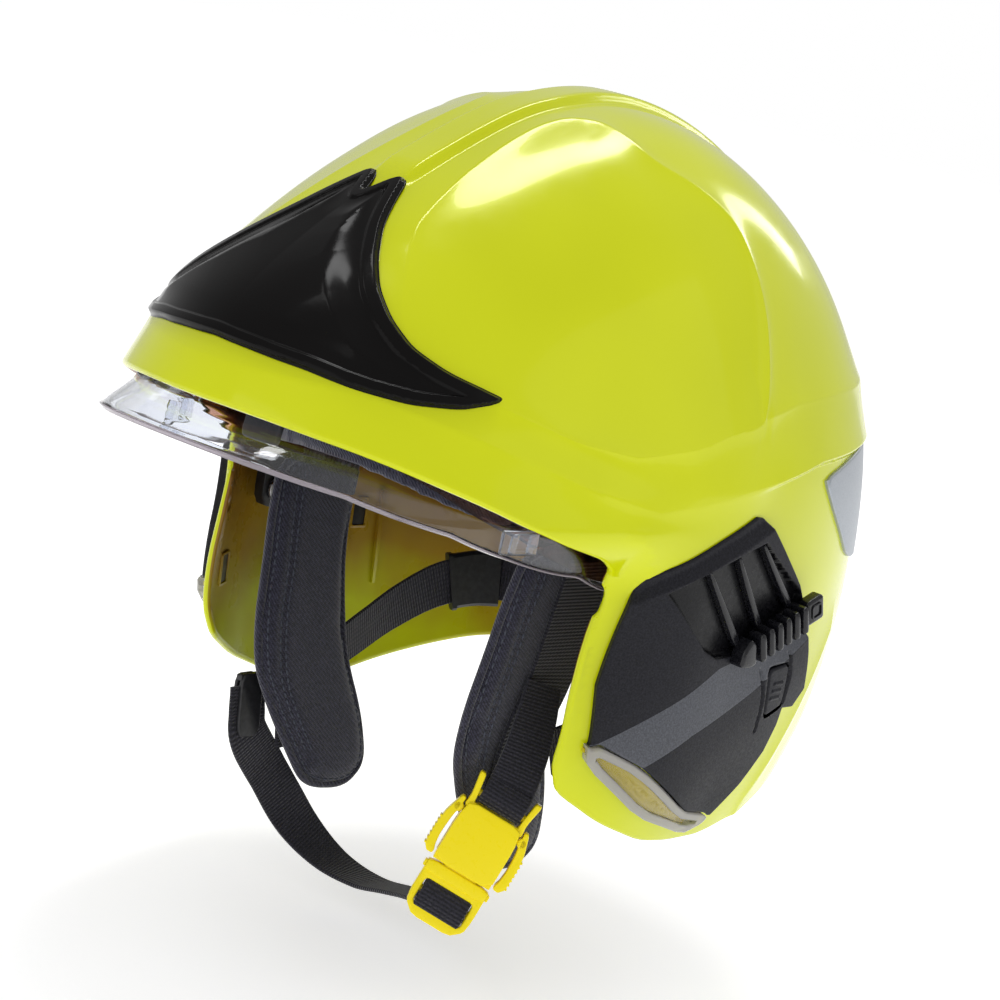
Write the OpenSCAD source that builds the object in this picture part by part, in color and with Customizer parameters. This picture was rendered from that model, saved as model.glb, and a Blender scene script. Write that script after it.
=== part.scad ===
// Structural fire helmet: jet-style shell with two nested visors, side covers
// with lamps and mask racks, head cradle, ear pads and chin strap.
// Origin: middle of the visor pivot axis, centre of the head opening.
// +X = wearer's left, -Y = front, +Z = up. Millimetres.

/* [Shell] */
// Half width of the shell
half_width = 118; // [116:0.5:120]
// Shell wall
shell_wall = 3.5; // [3:0.1:4]
// Height of the raised crest
crest_rise = 4; // [2:0.5:5]
// Thickness of the black front plate
plate_t = 3; // [2:0.1:4]

/* [Visors] */
// Half width of the face shield sheet
shield_half = 96; // [95:0.5:96.5]
// Face shield sheet
shield_t = 2; // [1.5:0.1:2.5]
// Half width of the eye visor sheet
ocular_half = 91.5; // [91:0.5:92]
// Eye visor sheet
ocular_t = 1.5; // [1.2:0.1:2]
// Radius of the visor pivot pins
pin_r = 5; // [4.5:0.1:5.5]
// Radial running clearance on the pins
pin_clear = 0.06; // [0.02:0.01:0.1]

/* [Liner] */
// Half width of the head space inside the liner
head_half = 76; // [75:0.5:77]

/* [Chin strap] */
// Webbing width
web_w = 20; // [18:1:22]
// Webbing thickness
web_t = 1.8; // [1.5:0.1:2.2]

/* [Hidden] */
$fn = 48;

// Radius from the pivot axis and roundness of the section, every 20 degrees:
// 0 = straight ahead, 90 = up, 180 = back, 270 = down.
SHELL_R = [188, 178, 158, 149, 151, 156, 158, 159, 160, 161, 168, 180, 186, 180, 172, 146, 135, 160];
SHELL_N = [2.1, 1.95, 1.95, 2.05, 2.15, 2.2, 2.2, 2.3, 2.4, 2.5, 2.6, 2.7, 2.8, 2.8, 2.7, 2.5, 2.4, 2.2];
LINER_R = [134, 135, 137, 138, 143, 146, 145, 140, 134, 128, 124, 122, 122, 124, 128, 130, 132, 133];
LINER_N = [2.3, 2.3, 2.3, 2.3, 2.3, 2.3, 2.3, 2.4, 2.5, 2.6, 2.6, 2.6, 2.6, 2.6, 2.5, 2.4, 2.3, 2.3];
HEAD_R = [101, 108, 116, 122, 127, 129, 126, 120, 113, 107, 104, 104, 106, 110, 112, 110, 104, 101];
HEAD_N = [2.3, 2.3, 2.3, 2.3, 2.3, 2.3, 2.3, 2.4, 2.4, 2.4, 2.4, 2.4, 2.4, 2.4, 2.4, 2.4, 2.3, 2.3];
RING = [for (i = [0:7.5:352.5]) i];
ROWS = [for (p = [7, 14, 21, 28, 35, 42, 49, 56, 63, 70, 76, 81, 85, 88]) p];
PHI = concat(ROWS, [90], [for (i = [len(ROWS) - 1:-1:0]) 180 - ROWS[i]]);
PHI_SOFT = [for (p = [10:10:170]) p];
RING_SOFT = [for (i = [0:12:348]) i];

// ---- helpers ----
function step(a, b, v) = let(t = min(1, max(0, (v - a) / (b - a)))) t * t * (3 - 2 * t);
function spline(a, b, c, d, t) =
  b + t / 2 * (c - a + t * (2 * a - 5 * b + 4 * c - d + t * (3 * (b - c) + d - a)));
function at_angle(tbl, th) =
  let(k = len(tbl), u = th * k / 360, i = floor(u), t = u - i)
  spline(tbl[(i - 1 + k) % k], tbl[i % k], tbl[(i + 1) % k], tbl[(i + 2) % k], t);
// Inward turn of the shell along the front edge of the ear flaps.
function flap_turn(y, z) =
  14 * pow(min(1, max(0, (-y - 12) / 40)), 2) * step(-88, -20, z) * (1 - step(-6, 14, z));
function crest_add(th, x) =
  crest_rise * step(42, 56, th) * (1 - step(150, 168, th))
  * (1 - step(-4, 4, abs(x) - 12 - 18 * step(60, 140, th)));
function rounded_pt(a, r, n, th, ph) =
  let(x = a * sign(cos(ph)) * pow(abs(cos(ph)), 2 / n), q = r * pow(abs(sin(ph)), 2 / n))
  [x, -q * cos(th), q * sin(th)];
function shell_pt(d, th, ph) =
  let(r = at_angle(SHELL_R, th) + d, n = at_angle(SHELL_N, th))
  let(p = rounded_pt(half_width + d, r, n, th, ph), k = 1 + crest_add(th, p[0]) / r)
  [p[0] * (1 - flap_turn(p[1], p[2]) / half_width), p[1] * k, p[2] * k];
// Extra width of the liner behind the ears.
function liner_pt(d, th, ph) =
  let(p = rounded_pt(84 + d, at_angle(LINER_R, th) + d, at_angle(LINER_N, th), th, ph))
  [p[0] * (1 + 0.22 * step(25, 60, p[1])), p[1], p[2]];
function head_pt(d, th, ph) =
  rounded_pt(head_half + d, at_angle(HEAD_R, th) + d, at_angle(HEAD_N, th), th, ph);
// Face shield section: radius falls from the flared lower edge to the upper edge.
function shield_r(th) = lookup(th, [[-90, 196], [4, 197.5], [7, 195.5], [9, 187], [11, 176.5], [13, 175.5], [20, 171],
  [30, 160], [40, 151.6], [50, 146.8], [60, 144.2], [90, 144.2]]);
function shield_pt(d, th, ph) = rounded_pt(shield_half + d, shield_r(th) + d, 2.3, th, ph);
ocular_r = 141.5;
function ocular_pt(d, th, ph) = rounded_pt(ocular_half + d, ocular_r + d, 2.3, th, ph);
// Angles of the lower and upper edges, by distance from the pivot.
SHIELD_LOW = [[8, -88], [16, -80], [33, -25], [60, -6.7], [95, 0], [120, 3.8], [161, 6.8], [197, 8]];
SHIELD_HIGH = [[8, 88], [16, 84], [30, 60], [200, 60]];
OCULAR_LOW = [[8, -88], [16, -78], [33, -23], [59, -6], [80, 2.2], [112, 9], [142, 13.4]];
OCULAR_HIGH = [[8, 88], [16, 82], [30, 58], [200, 58]];
SHEET_PHI = concat([2, 3.5, 5.5, 8, 11], [for (p = [15:6:165]) p], [169, 172, 174.5, 176.5, 178]);
SHIELD_V = [0, 0.02, 0.04, 0.06, 0.08, 0.11, 0.16, 0.24, 0.34, 0.46, 0.6, 0.74, 0.87, 1];
OCULAR_V = [0:0.125:1];

// Closed surface through rows of rings; pts holds one ring per row, ends are the poles.
module closed_rows(rows, pole) {
  k = len(rows[0]);
  m = len(rows);
  polyhedron(
    points = concat([[pole, 0, 0], [-pole, 0, 0]], [for (r = rows, p = r) p]),
    faces = concat(
      [for (i = [0:k - 1]) [0, 2 + i, 2 + (i + 1) % k]],
      [for (j = [0:m - 2], i = [0:k - 1], h = [0, 1]) h == 0
        ? [2 + j * k + i, 2 + (j + 1) * k + i, 2 + j * k + (i + 1) % k]
        : [2 + j * k + (i + 1) % k, 2 + (j + 1) * k + i, 2 + (j + 1) * k + (i + 1) % k]],
      [for (i = [0:k - 1]) [1, 2 + (m - 1) * k + (i + 1) % k, 2 + (m - 1) * k + i]]
    )
  );
}
module shell_form(d) closed_rows([for (ph = PHI) [for (th = RING) shell_pt(d, th, ph)]], half_width + d);
module liner_form(d) closed_rows([for (ph = PHI_SOFT) [for (th = RING_SOFT) liner_pt(d, th, ph)]], 84 + d);
module head_form(d) closed_rows([for (ph = PHI_SOFT) [for (th = RING_SOFT) head_pt(d, th, ph)]], head_half + d);
// Closed sheet between an outer and an inner grid of the same size.
module sheet(outer, inner) {
  m = len(outer);
  k = len(outer[0]);
  o = m * k;
  rim = concat(
    [for (j = [0:k - 1]) j],
    [for (i = [1:m - 1]) i * k + k - 1],
    [for (j = [k - 2:-1:0]) (m - 1) * k + j],
    [for (i = [m - 2:-1:1]) i * k]
  );
  r = len(rim);
  polyhedron(
    points = concat([for (row = outer, p = row) p], [for (row = inner, p = row) p]),
    faces = concat(
      [for (i = [0:m - 2], j = [0:k - 2], h = [0, 1]) h == 0
        ? [i * k + j, (i + 1) * k + j, i * k + j + 1]
        : [i * k + j + 1, (i + 1) * k + j, (i + 1) * k + j + 1]],
      [for (i = [0:m - 2], j = [0:k - 2], h = [0, 1]) h == 0
        ? [o + i * k + j, o + i * k + j + 1, o + (i + 1) * k + j]
        : [o + i * k + j + 1, o + (i + 1) * k + j + 1, o + (i + 1) * k + j]],
      [for (e = [0:r - 1], h = [0, 1]) h == 0
        ? [rim[e], rim[(e + 1) % r], o + rim[e]]
        : [rim[(e + 1) % r], o + rim[(e + 1) % r], o + rim[e]]]
    )
  );
}
function mix(a, b, t) = a + (b - a) * t;
function near(ph) = pow(sin(ph), 2 / 2.3);
function shield_th(ph, v) =
  mix(lookup(near(ph) * 197, SHIELD_LOW), lookup(near(ph) * 145, SHIELD_HIGH), v);
function ocular_th(ph, v) =
  mix(lookup(near(ph) * ocular_r, OCULAR_LOW), lookup(near(ph) * ocular_r, OCULAR_HIGH), v);

// Keeps a trimmed form as one mesh.
module as_mesh() { resize([0, 0, 0]) children(); }
// Slab seen from the side: outline in (y, z), from x0 to x1.
module side_slab(outline, x0 = -200, x1 = 200) {
  translate([x0, 0, 0])
    rotate([90, 0, 90])
      linear_extrude(x1 - x0)
        polygon(outline);
}
// Slab seen from the front: outline in (x, z), from y0 to y1.
module front_slab(outline, y0, y1) {
  translate([0, y1, 0])
    rotate([90, 0, 0])
      linear_extrude(y1 - y0)
        polygon(outline);
}
// Part of the shell surface between two heights above it, inside a side outline.
module shell_patch(d0, d1, outline, x0, x1) {
  intersection() {
    difference() {
      shell_form(d1);
      shell_form(d0);
    }
    side_slab(outline, x0, x1);
  }
}
module for_side(s) { if (s > 0) { children(); } else { mirror([1, 0, 0]) children(); } }

// ---- shell group ----
OPENING = [
  [-181, 40], [-150, 32], [-115, 20], [-85, 8], [-64, 2], [-54, -4], [-51, -14], [-54, -35], [-56, -55],
  [-56, -80], [-50, -92], [-30, -104], [-4, -114], [16, -117], [38, -118], [78, -109], [110, -101],
  [138, -97], [168, -92], [230, -92], [230, 230], [-230, 230], [-230, 44]
];
module outer_shell() {
  color("yellow")
    as_mesh() {
      intersection() {
        difference() {
          shell_form(0);
          shell_form(-shell_wall);
        }
        side_slab(OPENING);
      }
    }
}

PLATE = [
  [0, 112], [7, 118], [12, 120], [19, 106], [30, 93], [38, 83], [48, 75], [62, 66], [74, 60], [84, 57],
  [86, 54], [76, 50.5], [59, 51], [36, 54], [16, 57], [0, 58.5]
];
module front_plate() {
  color("black")
    as_mesh() {
      intersection() {
        difference() {
          shell_form(plate_t + 0.3);
          shell_form(0.3);
        }
        front_slab(concat(PLATE, [for (i = [len(PLATE) - 1:-1:1]) [-PLATE[i][0], PLATE[i][1]]]), -230, -60);
      }
    }
}

BROW = [
  [-181, 39.4], [-150, 31.4], [-115, 19.4], [-85, 7.4], [-64, 1.4], [-64, -1.1], [-85, 4.9], [-115, 16.9],
  [-150, 28.9], [-181, 36.9], [-230, 40.4], [-230, 43.4]
];
module brow_gasket() {
  color("dimgray")
    as_mesh() {
      intersection() {
        difference() {
          shell_form(-0.5);
          shell_form(-3.3);
        }
        side_slab(BROW);
      }
    }
}

LINER_EDGE = [
  [-230, 50], [-95, 34], [-55, 14], [-24, 4], [20, 0], [45, -14], [66, -26], [96, -33], [180, -33], [180, 230], [-230, 230]
];
module impact_liner() {
  color("dimgray")
    as_mesh() {
      intersection() {
        difference() {
          liner_form(0);
          head_form(0);
        }
        side_slab(LINER_EDGE);
      }
    }
}

// ---- side covers ----
COVER = [
  [-43, -3], [8, 19.5], [12, 19.5], [21, 12], [43, -9], [50, -26], [60, -50], [42, -93], [24, -106], [17, -108],
  [-10, -95], [-46, -68], [-49, -47], [-47, -25]
];
RECESS = [[-36, -1], [8, 16], [16, 9], [40, -9], [62, -9], [62, -24], [0, -43], [-36, -20]];
LAMP = [[-36, -64], [12, -95], [20, -90], [8, -76], [-28, -58]];
LAMP_POCKET = [[-38.5, -64], [12, -96.6], [22.5, -90.4], [9, -74.6], [-28, -56]];
LENS = [[-46, -68.4], [-34, -70.2], [10, -99], [24, -104.8], [17, -107], [-10, -94.2], [-44.6, -68.4]];
LENS_CUT = [[-50, -67], [-34, -69.4], [10, -98.4], [27, -104.2], [30, -120], [-60, -90]];
button_y = 35.5;
button_z = -50;
module side_cover(s) {
  color("black")
    for_side(s)
      as_mesh() {
        difference() {
          shell_patch(0.8, 8, COVER, 40, 160);
          side_slab(LENS_CUT, 40, 160);
          intersection() {
            shell_patch(3.4, 12, RECESS, 40, 160);
            translate([117, -60, -60]) cube([40, 130, 100]);
          }
          translate([112.5, button_y - 7.4, button_z - 9.4]) cube([20, 14.8, 18.8]);
          shell_patch(0.2, 6, LAMP_POCKET, 40, 160);
        }
      }
}
module mask_rack(s) {
  color("black")
    for_side(s)
      translate([121.8, 26, -26])
        rotate([18.5, 0, 0]) {
          translate([0, -26, -3.5]) cube([3, 52, 7]);
          for (i = [0:7])
            translate([3, -24 + i * 6, -5]) cube([4.5, 3.4, 10]);
          translate([0, 26.1, -6]) cube([6, 4, 12]);
        }
}
module lamp_lens(s) {
  color("white")
    for_side(s)
      as_mesh() { shell_patch(0.7, 8.6, LENS, 40, 160); }
}
module lamp_reflector(s) {
  color("orange")
    for_side(s)
      as_mesh() { shell_patch(0.8, 5, LAMP, 40, 160); }
}
module lamp_button(s) {
  color("black")
    for_side(s)
      translate([118.8, button_y - 7, button_z - 9]) cube([5.6, 14, 18]);
}
PATCH = [[57, 30], [92, 38], [132, 40], [134, -12], [96, -6], [70, 16]];
module reflective_patch(s) {
  color("silver")
    for_side(s)
      as_mesh() { shell_patch(0.4, 1.4, PATCH, 40, 160); }
}

// ---- pivots ----
module visor_bracket(s) {
  color("black")
    for_side(s)
      difference() {
        union() {
          translate([101.6, 0, 0]) rotate([0, 90, 0]) cylinder(r = 16, h = 6);
          translate([101.6, 0, 0]) rotate([0, 90, 0]) cylinder(r = 10, h = 12.2);
          translate([101.6, -26, -40]) cube([6, 20, 40]);
          translate([101.6, -8, -30]) cube([6, 30, 24]);
        }
        translate([100, 0, 0]) rotate([0, 90, 0]) cylinder(r = pin_r, h = 20);
        translate([100, -19, -32]) rotate([0, 90, 0]) cylinder(r = 2.5, h = 20);
        translate([105.6, -4, -26]) cube([8, 22, 14]);
      }
}
module pin_set() {
  for (s = [1, -1])
    for_side(s) {
      translate([84.8, 0, 0]) rotate([0, 90, 0]) cylinder(r = pin_r, h = 28);
      translate([84.8, 0, 0]) rotate([0, 90, 0]) cylinder(r = 7.5, h = 1.4);
    }
}
module visor_pins() { color("silver") pin_set(); }
module bracket_screws() {
  color("silver")
    for (s = [1, -1])
      for_side(s) {
        translate([99.4, -19, -32]) rotate([0, 90, 0]) cylinder(r = 5, h = 2);
        translate([100, -19, -32]) rotate([0, 90, 0]) cylinder(r = 2.4, h = 7);
      }
}

// ---- head cradle ----
BAND = [[-120, 46], [-60, 21], [0, -3], [60, -33], [120, -64], [120, -34], [60, -7], [0, 21], [-60, 46], [-120, 72]];
module head_layer(d0, d1, outline, x0 = -90, x1 = 90) {
  intersection() {
    difference() {
      head_form(d1);
      head_form(d0);
    }
    side_slab(outline, x0, x1);
  }
}
module headband() {
  color("black")
    as_mesh() { head_layer(-2.4, -0.4, BAND); }
}
module crown_cradle() {
  color("dimgray")
    as_mesh() {
      intersection() {
        difference() {
          head_form(-0.4);
          head_form(-1.8);
        }
        union() {
          translate([-9, -150, 0]) cube([18, 300, 160]);
          translate([-90, -34, 0]) cube([180, 18, 160]);
          translate([-90, 18, 0]) cube([180, 18, 160]);
        }
        side_slab([[-120, 73], [-60, 47], [0, 22], [60, -6], [120, -33], [120, 160], [-120, 160]]);
      }
    }
}
module crown_pad() {
  color("dimgray")
    as_mesh() {
      intersection() {
        difference() {
          head_form(-2.3);
          head_form(-8);
        }
        translate([0, 0, 60]) cylinder(r = 42, h = 100);
      }
    }
}
BROW_PAD = [[-120, 17], [-86, 4], [-64, -1], [-58, 10], [-54, 30], [-60, 52], [-120, 70]];
module forehead_pad() {
  color("darkslategray")
    as_mesh() { head_layer(-9, -2.8, BROW_PAD); }
}
NAPE = [[70, -36], [120, -62], [120, -36], [70, -14]];
module nape_pad() {
  color("darkslategray")
    as_mesh() { head_layer(-8, -2.8, NAPE, -55, 55); }
}
// Webbing from behind the ear pads round the nape; the left half, front to back.
NAPE_SIDE = [[61, -13, -92], [65, 8, -85], [67, 30, -76], [64.5, 52, -67], [56, 70, -62], [42, 81, -61], [22, 87, -61]];
module nape_band() {
  color("black")
    webbing(
      concat(NAPE_SIDE, [[0, 89, -61]], [for (i = [6:-1:0]) [-NAPE_SIDE[i][0], NAPE_SIDE[i][1], NAPE_SIDE[i][2]]]),
      [for (i = [0:14]) [0, 0.15, 1]],
      web_w, web_t
    );
}
knob_z = -56;
module ratchet_housing() {
  color("black")
    difference() {
      union() {
        translate([-36, 95.4, knob_z - 12]) cube([72, 8, 24]);
        translate([0, 103, knob_z]) rotate([-90, 0, 0]) cylinder(r = 8, h = 2);
      }
      translate([0, 94, knob_z]) rotate([-90, 0, 0]) cylinder(r = 4.06, h = 20);
      translate([-30, 94, knob_z - 8]) cube([20, 6, 16]);
      translate([10, 94, knob_z - 8]) cube([20, 6, 16]);
    }
}
module size_knob() {
  color("black") {
    difference() {
      translate([0, 105.4, knob_z]) rotate([-90, 0, 0]) cylinder(r = 15, h = 12);
      for (i = [0:11])
        translate([0, 105, knob_z])
          rotate([0, i * 30, 0])
            translate([16.2, 0, 0]) rotate([-90, 0, 0]) cylinder(r = 2.6, h = 14, $fn = 24);
    }
    translate([0, 96, knob_z]) rotate([-90, 0, 0]) cylinder(r = 4, h = 10);
  }
}

// ---- ear pads and chin strap ----
EAR_PAD = [
  [-58, -4], [-62, -28], [-63, -48], [-65, -72], [-63, -92], [-54, -109], [-42.5, -127], [-30, -145], [-5, -148],
  [7, -138], [2, -116], [-10, -90], [-14, -68], [-16, -48], [-15, -30], [-10, -6]
];
pad_lean = 7.4;
module lean(s) { for_side(s) translate([66, 0, 0]) rotate([0, pad_lean, 0]) children(); }
module ear_pad(s) {
  color("darkslategray")
    lean(s) side_slab(EAR_PAD, -4.5, 4.5);
}
SIDE_WEB = [[-38, -10], [-40.5, -60], [-45, -84], [-42, -128], [-14, -128], [-18, -84], [-12.5, -60], [-10, -10]];
module side_webbing(s) {
  color("black")
    lean(s) side_slab(SIDE_WEB, 4.9, 6.7);
}
// Flat webbing along a path; each point carries its own width direction.
module webbing(path, wide, w, t) {
  n = len(path);
  dirs = [for (i = [0:n - 1]) path[min(n - 1, i + 1)] - path[max(0, i - 1)]];
  pts = [for (i = [0:n - 1])
    let(d = dirs[i] / norm(dirs[i]), a = wide[i] - (wide[i] * d) * d, u = a / norm(a), v = cross(d, u))
    [path[i] + u * w / 2 + v * t / 2, path[i] - u * w / 2 + v * t / 2,
     path[i] - u * w / 2 - v * t / 2, path[i] + u * w / 2 - v * t / 2]];
  polyhedron(
    points = [for (q = pts, p = q) p],
    faces = concat(
      [[0, 1, 2], [0, 2, 3]],
      [for (i = [0:n - 2], k = [0:3], h = [0, 1]) h == 0
        ? [i * 4 + k, (i + 1) * 4 + k, i * 4 + (k + 1) % 4]
        : [i * 4 + (k + 1) % 4, (i + 1) * 4 + k, (i + 1) * 4 + (k + 1) % 4]],
      [[4 * n - 4, 4 * n - 2, 4 * n - 3], [4 * n - 4, 4 * n - 1, 4 * n - 2]]
    )
  );
}
// Buckle frame: u = long axis towards the ear, v = across, w = out of the face.
buckle_at = [68.6, -59.6, -126];
BU = [0.149, 0.369, 0.917];
BW0 = [0.62, -0.75, 0.2];
BW1 = BW0 - (BW0 * BU) * BU;
BW = BW1 / norm(BW1);
BV = cross(BU, BW);
module in_buckle() {
  multmatrix([
    [BV[0], BU[0], BW[0], buckle_at[0]],
    [BV[1], BU[1], BW[1], buckle_at[1]],
    [BV[2], BU[2], BW[2], buckle_at[2]],
    [0, 0, 0, 1]
  ])
    children();
}
STRAP = [
  [-60.8, -50, -127], [-58.5, -40, -139], [-50, -26, -160], [-35, -18, -172], [-16, -15, -175], [3, -17, -171],
  [20, -22, -167], [37, -32, -163], [50, -47, -158], [59.8, -63.4, -152]
];
STRAP_WIDE = [
  [0.1, 1, 0.4], [0.1, 1, 0.4], [0.2, 1, 0.3], [0.1, 1, 0.2], [0, 1, 0.1], [0.1, 1, 0],
  [0.3, 1, 0], [0.5, 0.9, -0.1], [0.65, 0.75, -0.25], [0.77, 0.54, -0.34]
];
module chin_strap() {
  color("black")
    webbing(STRAP, STRAP_WIDE, web_w, web_t);
}
module strap_anchor() {
  color("black")
    lean(-1)
      difference() {
        translate([6.9, -62, -122]) cube([5, 12, 26]);
        translate([8.2, -63, -119]) cube([2.4, 14, 20]);
      }
}
// Upper half of the buckle: housing for the tongue and loop for the ear webbing.
module buckle_frame() {
  color("yellow")
    in_buckle()
      difference() {
        union() {
          translate([-12.5, -6, -5]) cube([25, 26, 10]);
          for (k = [1, -1])
            translate([k * 12 - 1.4, 18, -3.5]) cube([2.8, 13, 7]);
          translate([-11, 20, -2]) cube([22, 4, 4]);
        }
        translate([-8.6, -8, -3.2]) cube([17.2, 23, 6.4]);
      }
}
// Squeeze arms on both sides of the upper half.
module buckle_arm(k) {
  color("yellow")
    in_buckle() {
      translate([k * 15.8 - 1.5, -5, -3.5]) cube([3, 24, 7]);
      for (i = [0:5])
        translate([k * 17.5 - 0.6, -3 + i * 2.6, -3.5]) cube([1.2, 1.3, 7]);
      translate([k * 13.9, 15.2, -3]) cylinder(r = 0.9, h = 6);
    }
}
// Lower half: blade that enters the housing and loop for the long strap.
module buckle_tongue() {
  color("yellow")
    in_buckle()
      difference() {
        union() {
          translate([-8.2, -8, -2.8]) cube([16.4, 20, 5.6]);
          translate([-13, -12, -3.5]) cube([26, 5.6, 7]);
          for (k = [1, -1])
            translate([k * 11.8 - 1.4, -28, -3]) cube([2.8, 18, 6]);
          translate([-13, -29, -3]) cube([26, 4, 6]);
          translate([-11, -20, -1.5]) cube([22, 3, 3]);
        }
        translate([-3, -2, -4]) cube([6, 10, 8]);
      }
}
TAIL = [[72.4, -50.2, -102.6], [73, -47, -95], [72, -42, -84], [69.5, -37, -72], [66.8, -33, -60]];
TAIL_WIDE = [[0.77, 0.54, -0.34], [0.77, 0.54, -0.34], [0.5, 0.8, -0.2], [0.2, 1, 0], [0.1, 1, 0]];
module frame_webbing() {
  color("black")
    webbing(TAIL, TAIL_WIDE, web_w - 2, web_t);
}

// ---- visors ----
module face_shield() {
  color("lightblue", 0.4)
    sheet(
      [for (ph = SHEET_PHI) [for (v = SHIELD_V) shield_pt(0, shield_th(ph, v), ph)]],
      [for (ph = SHEET_PHI) [for (v = SHIELD_V) shield_pt(-shield_t, shield_th(ph, v), ph)]]
    );
}
bead_gap = 0.1;
bead_h = 1.1;
BEAD_PHI = [for (p = SHEET_PHI) if (p > 14 && p < 166) p];
module shield_bead() {
  color("white")
    sheet(
      [for (ph = BEAD_PHI) [for (g = [bead_gap + bead_h, bead_gap]) shield_pt(0.5, shield_th(ph, 0) - g, ph)]],
      [for (ph = BEAD_PHI) [for (g = [bead_gap + bead_h, bead_gap]) shield_pt(-2.5, shield_th(ph, 0) - g, ph)]]
    );
}
module hub_ring(x0, x1) {
  for (s = [1, -1])
    for_side(s)
      translate([x0, 0, 0])
        rotate([0, 90, 0])
          difference() {
            cylinder(r = 14, h = x1 - x0);
            translate([0, 0, -1]) cylinder(r = pin_r + pin_clear, h = x1 - x0 + 2);
          }
}
module shield_hubs() { color("gray") hub_ring(96.4, 101); }
module shield_tabs() {
  color("white")
    for (s = [1, -1])
      for_side(s)
        translate([87.2, -101, 1.5])
          rotate([0, 0, -12])
            {
              cube([2, 16, 9]);
              for (i = [0:3])
                translate([2, 1 + 4 * i, 0.5]) cube([1.6, 1.8, 8]);
            }
}
module ocular_visor() {
  color("sienna", 0.5)
    sheet(
      [for (ph = SHEET_PHI) [for (v = OCULAR_V) ocular_pt(0, ocular_th(ph, v), ph)]],
      [for (ph = SHEET_PHI) [for (v = OCULAR_V) ocular_pt(-ocular_t, ocular_th(ph, v), ph)]]
    );
}
module ocular_hubs() { color("black") hub_ring(86.6, 89.6); }
module ocular_tab() {
  color("black")
    translate([-9, -140.3, 19.6])
      rotate([-10, 0, 0]) cube([18, 3, 13]);
}

outer_shell();
front_plate();
brow_gasket();
impact_liner();
side_cover(1);  // side_cover_left
side_cover(-1);  // side_cover_right
mask_rack(1);  // mask_rack_left
mask_rack(-1);  // mask_rack_right
lamp_lens(1);  // lamp_lens_left
lamp_lens(-1);  // lamp_lens_right
lamp_reflector(1);  // lamp_reflector_left
lamp_reflector(-1);  // lamp_reflector_right
lamp_button(1);  // lamp_button_left
lamp_button(-1);  // lamp_button_right
reflective_patch(1);  // reflective_patch_left
reflective_patch(-1);  // reflective_patch_right
visor_bracket(1);  // visor_bracket_left
visor_bracket(-1);  // visor_bracket_right
visor_pins();
bracket_screws();
headband();
crown_cradle();
crown_pad();
forehead_pad();
nape_pad();
nape_band();
ratchet_housing();
size_knob();
ear_pad(1);  // ear_pad_left
ear_pad(-1);  // ear_pad_right
side_webbing(1);  // side_webbing_left
side_webbing(-1);  // side_webbing_right
strap_anchor();
chin_strap();
buckle_frame();
buckle_tongue();
frame_webbing();
buckle_arm(1);  // buckle_arm_front
buckle_arm(-1);  // buckle_arm_rear
face_shield();
shield_bead();
shield_hubs();
shield_tabs();
ocular_visor();
ocular_hubs();
ocular_tab();
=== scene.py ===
"""Looks of the fire helmet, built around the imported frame. Helper tables are in millimetres."""
import math

import bmesh
import bpy
import numpy as np
from mathutils import Matrix, Vector
from mathutils.bvhtree import BVHTree


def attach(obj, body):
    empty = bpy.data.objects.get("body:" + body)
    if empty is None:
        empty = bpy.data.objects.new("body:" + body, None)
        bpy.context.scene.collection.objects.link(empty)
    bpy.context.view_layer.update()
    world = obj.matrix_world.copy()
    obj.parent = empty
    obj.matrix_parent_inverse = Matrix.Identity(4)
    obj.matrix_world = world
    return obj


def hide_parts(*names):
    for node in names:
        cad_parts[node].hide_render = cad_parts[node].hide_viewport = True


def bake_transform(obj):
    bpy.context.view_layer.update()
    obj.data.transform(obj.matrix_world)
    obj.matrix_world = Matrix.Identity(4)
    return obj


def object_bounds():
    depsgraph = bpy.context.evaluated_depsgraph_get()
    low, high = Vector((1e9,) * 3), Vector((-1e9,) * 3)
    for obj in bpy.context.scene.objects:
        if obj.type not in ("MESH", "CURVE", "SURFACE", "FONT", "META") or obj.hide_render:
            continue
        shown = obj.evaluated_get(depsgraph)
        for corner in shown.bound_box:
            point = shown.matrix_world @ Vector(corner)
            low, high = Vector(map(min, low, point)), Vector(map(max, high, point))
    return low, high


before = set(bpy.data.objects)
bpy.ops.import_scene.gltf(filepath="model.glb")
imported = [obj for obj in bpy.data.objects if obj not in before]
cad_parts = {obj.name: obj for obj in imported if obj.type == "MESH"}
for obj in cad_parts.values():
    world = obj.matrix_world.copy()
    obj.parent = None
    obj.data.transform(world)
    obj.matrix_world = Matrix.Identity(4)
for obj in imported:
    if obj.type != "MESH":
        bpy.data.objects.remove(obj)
cad_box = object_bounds()
MM = 0.001
BOTH = ("left", "right")


# ---------------------------------------------------------------- small maths
def step(low, high, value):
    """Smooth 0 to 1 between low and high."""
    t = np.clip((value - low) / (high - low), 0, 1)
    return t * t * (3 - 2 * t)


def outline_distance(outline, points, closed=True):
    """Distance from 2-D points to an outline; negative inside a closed one."""
    a = np.asarray(outline, float)
    b = np.roll(a, -1, 0)
    if not closed:
        a, b = a[:-1], b[:-1]
    best = np.full(len(points), 1e9)
    inside = np.zeros(len(points), bool)
    for p, q in zip(a, b):
        d = q - p
        ap = points - p
        t = np.clip(ap @ d / (d @ d), 0, 1)
        best = np.minimum(best, np.hypot(*(ap - t[:, None] * d).T))
        if closed and p[1] != q[1]:
            spans = (p[1] > points[:, 1]) != (q[1] > points[:, 1])
            x_at = p[0] + (points[:, 1] - p[1]) * d[0] / d[1]
            inside ^= spans & (points[:, 0] < x_at)
    return np.where(inside, -best, best) if closed else best


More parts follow.
